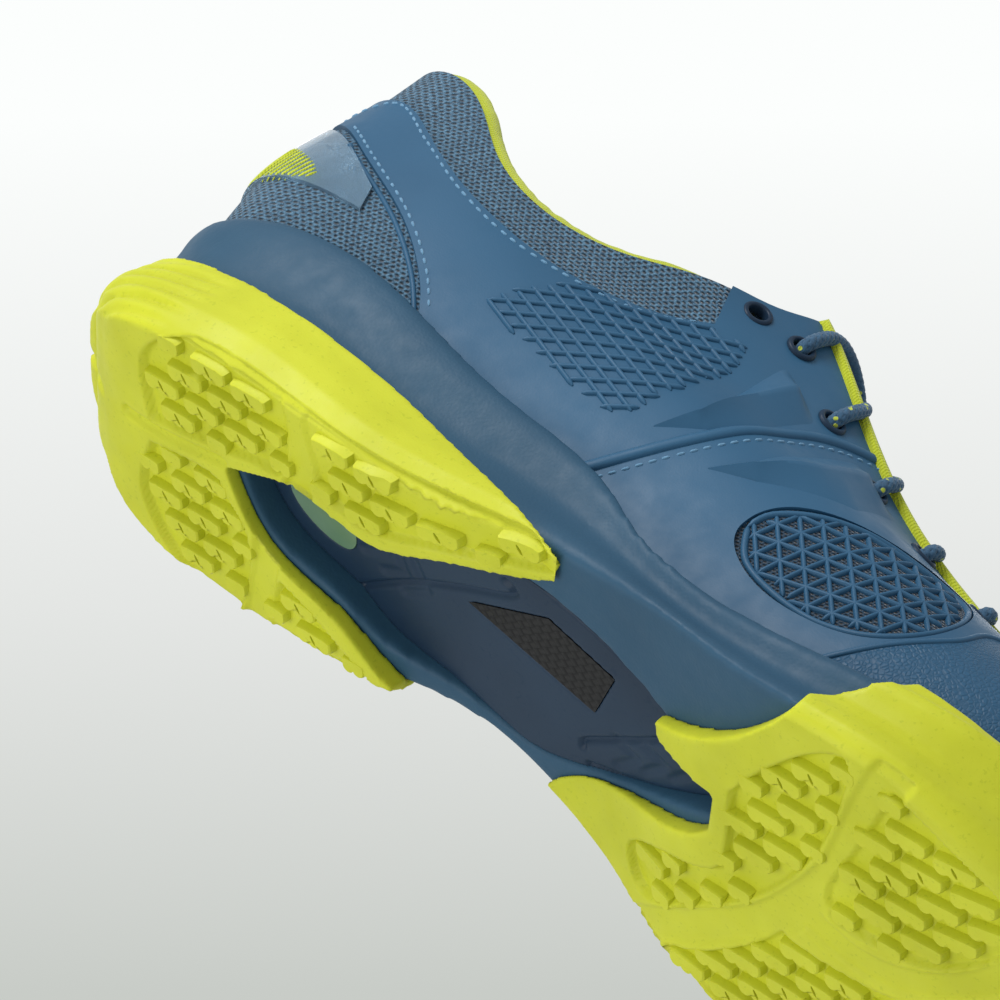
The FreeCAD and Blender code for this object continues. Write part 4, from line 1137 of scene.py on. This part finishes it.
binding = objectFrom("TongueBinding", binding, None)
finished(binding, limeFabric, body="tongue", replaced=("tongue_binding",))
print("tongue made")

# Collar.
collar = {"section": [(0.9, -2.2), (0.7, 0.2), (1.0, 2.0), (2.0, 3.5), (3.7, 4.2), (5.6, 3.6), (7.2, 1.6),
                      (8.3, -3.0), (8.9, -7), (9.1, -12), (8.7, -17), (7.6, -21), (6.0, -21), (5.4, -12),
                      (4.0, -5)],
          "middle": (62.0, 0.0), "drop": 2.0, "start": -33, "sweep": 294, "steps": 150, "heelRun": 30}


# The point just under the topline, seen from the middle of the foot opening at this angle.
def collarStation(turn):
    way = Vector((math.cos(turn), math.sin(turn), 0))
    middle = spot(*collar["middle"], 0)
    for step in range(100):
        height = 0.114 - step * 0.0004
        start = Vector((middle.x, middle.y, height)) + way * 0.13
        point, _, _, _ = upperTree.ray_cast(start, -way)
        if point is not None and (point - start).length < 0.127:
            start.z -= collar["drop"] * mm
            return upperTree.ray_cast(start, -way)[:2]
    return None, None


def buildCollar():
    sections = []
    for number in range(collar["steps"] + 1):
        degrees = collar["start"] - collar["sweep"] * number / collar["steps"]
        point, normal = collarStation(math.radians(degrees))
        if point is None:
            continue
        level = Vector((normal.x, normal.y, 0)).normalized()
        up = (Vector((0, 0, 1)) - normal * normal.z).normalized()
        fromEnd = min(number, collar["steps"] - number) / 5
        fromHeel = abs(point.x / mm + heelShift) / collar["heelRun"]
        share = 0.45 + 0.55 * min(1, fromEnd, fromHeel)
        sections.append([point - level * (d * mm) + up * ((h * share + collar["drop"]) * mm)
                         for d, h in collar["section"]])
    data = emptyData()
    addLoops(data, sections)
    obj = objectFrom("CollarPadding", data, None)
    applyModifier(obj, "SUBSURF", levels=1, render_levels=1)
    finished(obj, limeFabric, replaced=("collar_foam",))


buildCollar()
print("collar made")

# Materials on the CAD pieces that stay.
keptLooks = {
    "carbon_insert": carbonWeave, "heel_gel_cushion": greenGel, "strobel_board": boardFabric,
    "sockliner_foam": sockFoam, "sockliner_cover": sockFabric, "heel_counter": counterPlastic,
    "ankle_backing": backingFabric, "collar_lining": limeFabric, "toe_puff": backingFabric,
    "vamp_lining": backingFabric, "collar_knit": blueKnit, "heel_knit": blueKnit, "vamp_mesh": darkMesh,
    "quarter_overlay_lateral": blueFilmSkin, "quarter_overlay_medial": blueFilmSkin,
    "vamp_overlay_lateral": blueFilmSkin, "vamp_overlay_medial": blueFilmSkin, "toe_guard": grainedBlue,
    "heel_patch": glossBluePaintedHighlight,
}
for name, look in keptLooks.items():
    node = nodes[name]
    if not node.material_slots:
        node.data.materials.append(look)
    for slotHolder in node.material_slots:
        slotHolder.material = look

# Studio.
def addStage(name, location, rotation, size, material):
    bpy.ops.mesh.primitive_plane_add(size=size, location=location, rotation=rotation)
    plane = bpy.context.object
    plane.name = name
    plane.data.materials.append(material)
    return plane


def floorMaterial():
    m = Maker("PaleFloor")
    cloud = m.noise(3, 2)
    return m.done(m.mix(cloud, linear(232, 233, 231), linear(226, 228, 226)), 0.7)


def backdropMaterial():
    m = Maker("PaleBackdrop")
    x, y, z = m.axes()
    # Painted light: the backdrop glows instead of being lit, grey towards the bottom and white at the top.
    share = m.range(y, -0.52, 0.45)
    colour = m.mix(m.range(share, 0, 0.42), linear(200, 204, 199), linear(228, 230, 228))
    colour = m.mix(m.range(share, 0.42, 0.95), colour, linear(252, 254, 253))
    m.put(m.shader.inputs["Emission Color"], colour)
    m.shader.inputs["Emission Strength"].default_value = 1.0
    return m.done((0, 0, 0, 1), 1.0, Specular_IOR_Level=0.0)


addStage("Floor", (0, 0, -0.9), (0, 0, 0), 12, floorMaterial())
wallTurn = Matrix((camRight, camUp, camBack)).transposed().to_euler()
addStage("Backdrop", camEye - camBack * 4.9, wallTurn, 5.0, backdropMaterial())


def addLight(name, way, distance, size, power, aim=(0, 0, 0.05)):
    place = Vector(aim) + Vector(way).normalized() * distance
    bpy.ops.object.light_add(type="AREA", location=place)
    light = bpy.context.object
    light.name = name
    light.data.size = size
    light.data.energy = power
    light.rotation_euler = (Vector(aim) - place).to_track_quat("-Z", "Y").to_euler()


addLight("Key", camUp * 1.0 - camRight * 0.35 + camBack * 0.35, 1.0, 0.45, 7.5, aim=(-0.08, 0, 0.06))
addLight("Fill", Vector((-0.25, -0.2, -1.0)), 0.85, 0.7, 3.0, aim=(0, 0, 0))
addLight("Back", Vector((-0.4, 1.0, 0.7)), 1.8, 1.2, 12)
world = bpy.data.worlds.new("Studio")
bpy.context.scene.world = world
world.use_nodes = True
world.node_tree.nodes["Background"].inputs["Color"].default_value = linear(236, 240, 242)
world.node_tree.nodes["Background"].inputs["Strength"].default_value = 0.56
bpy.context.scene.view_settings.view_transform = "Standard"
print("studio made")
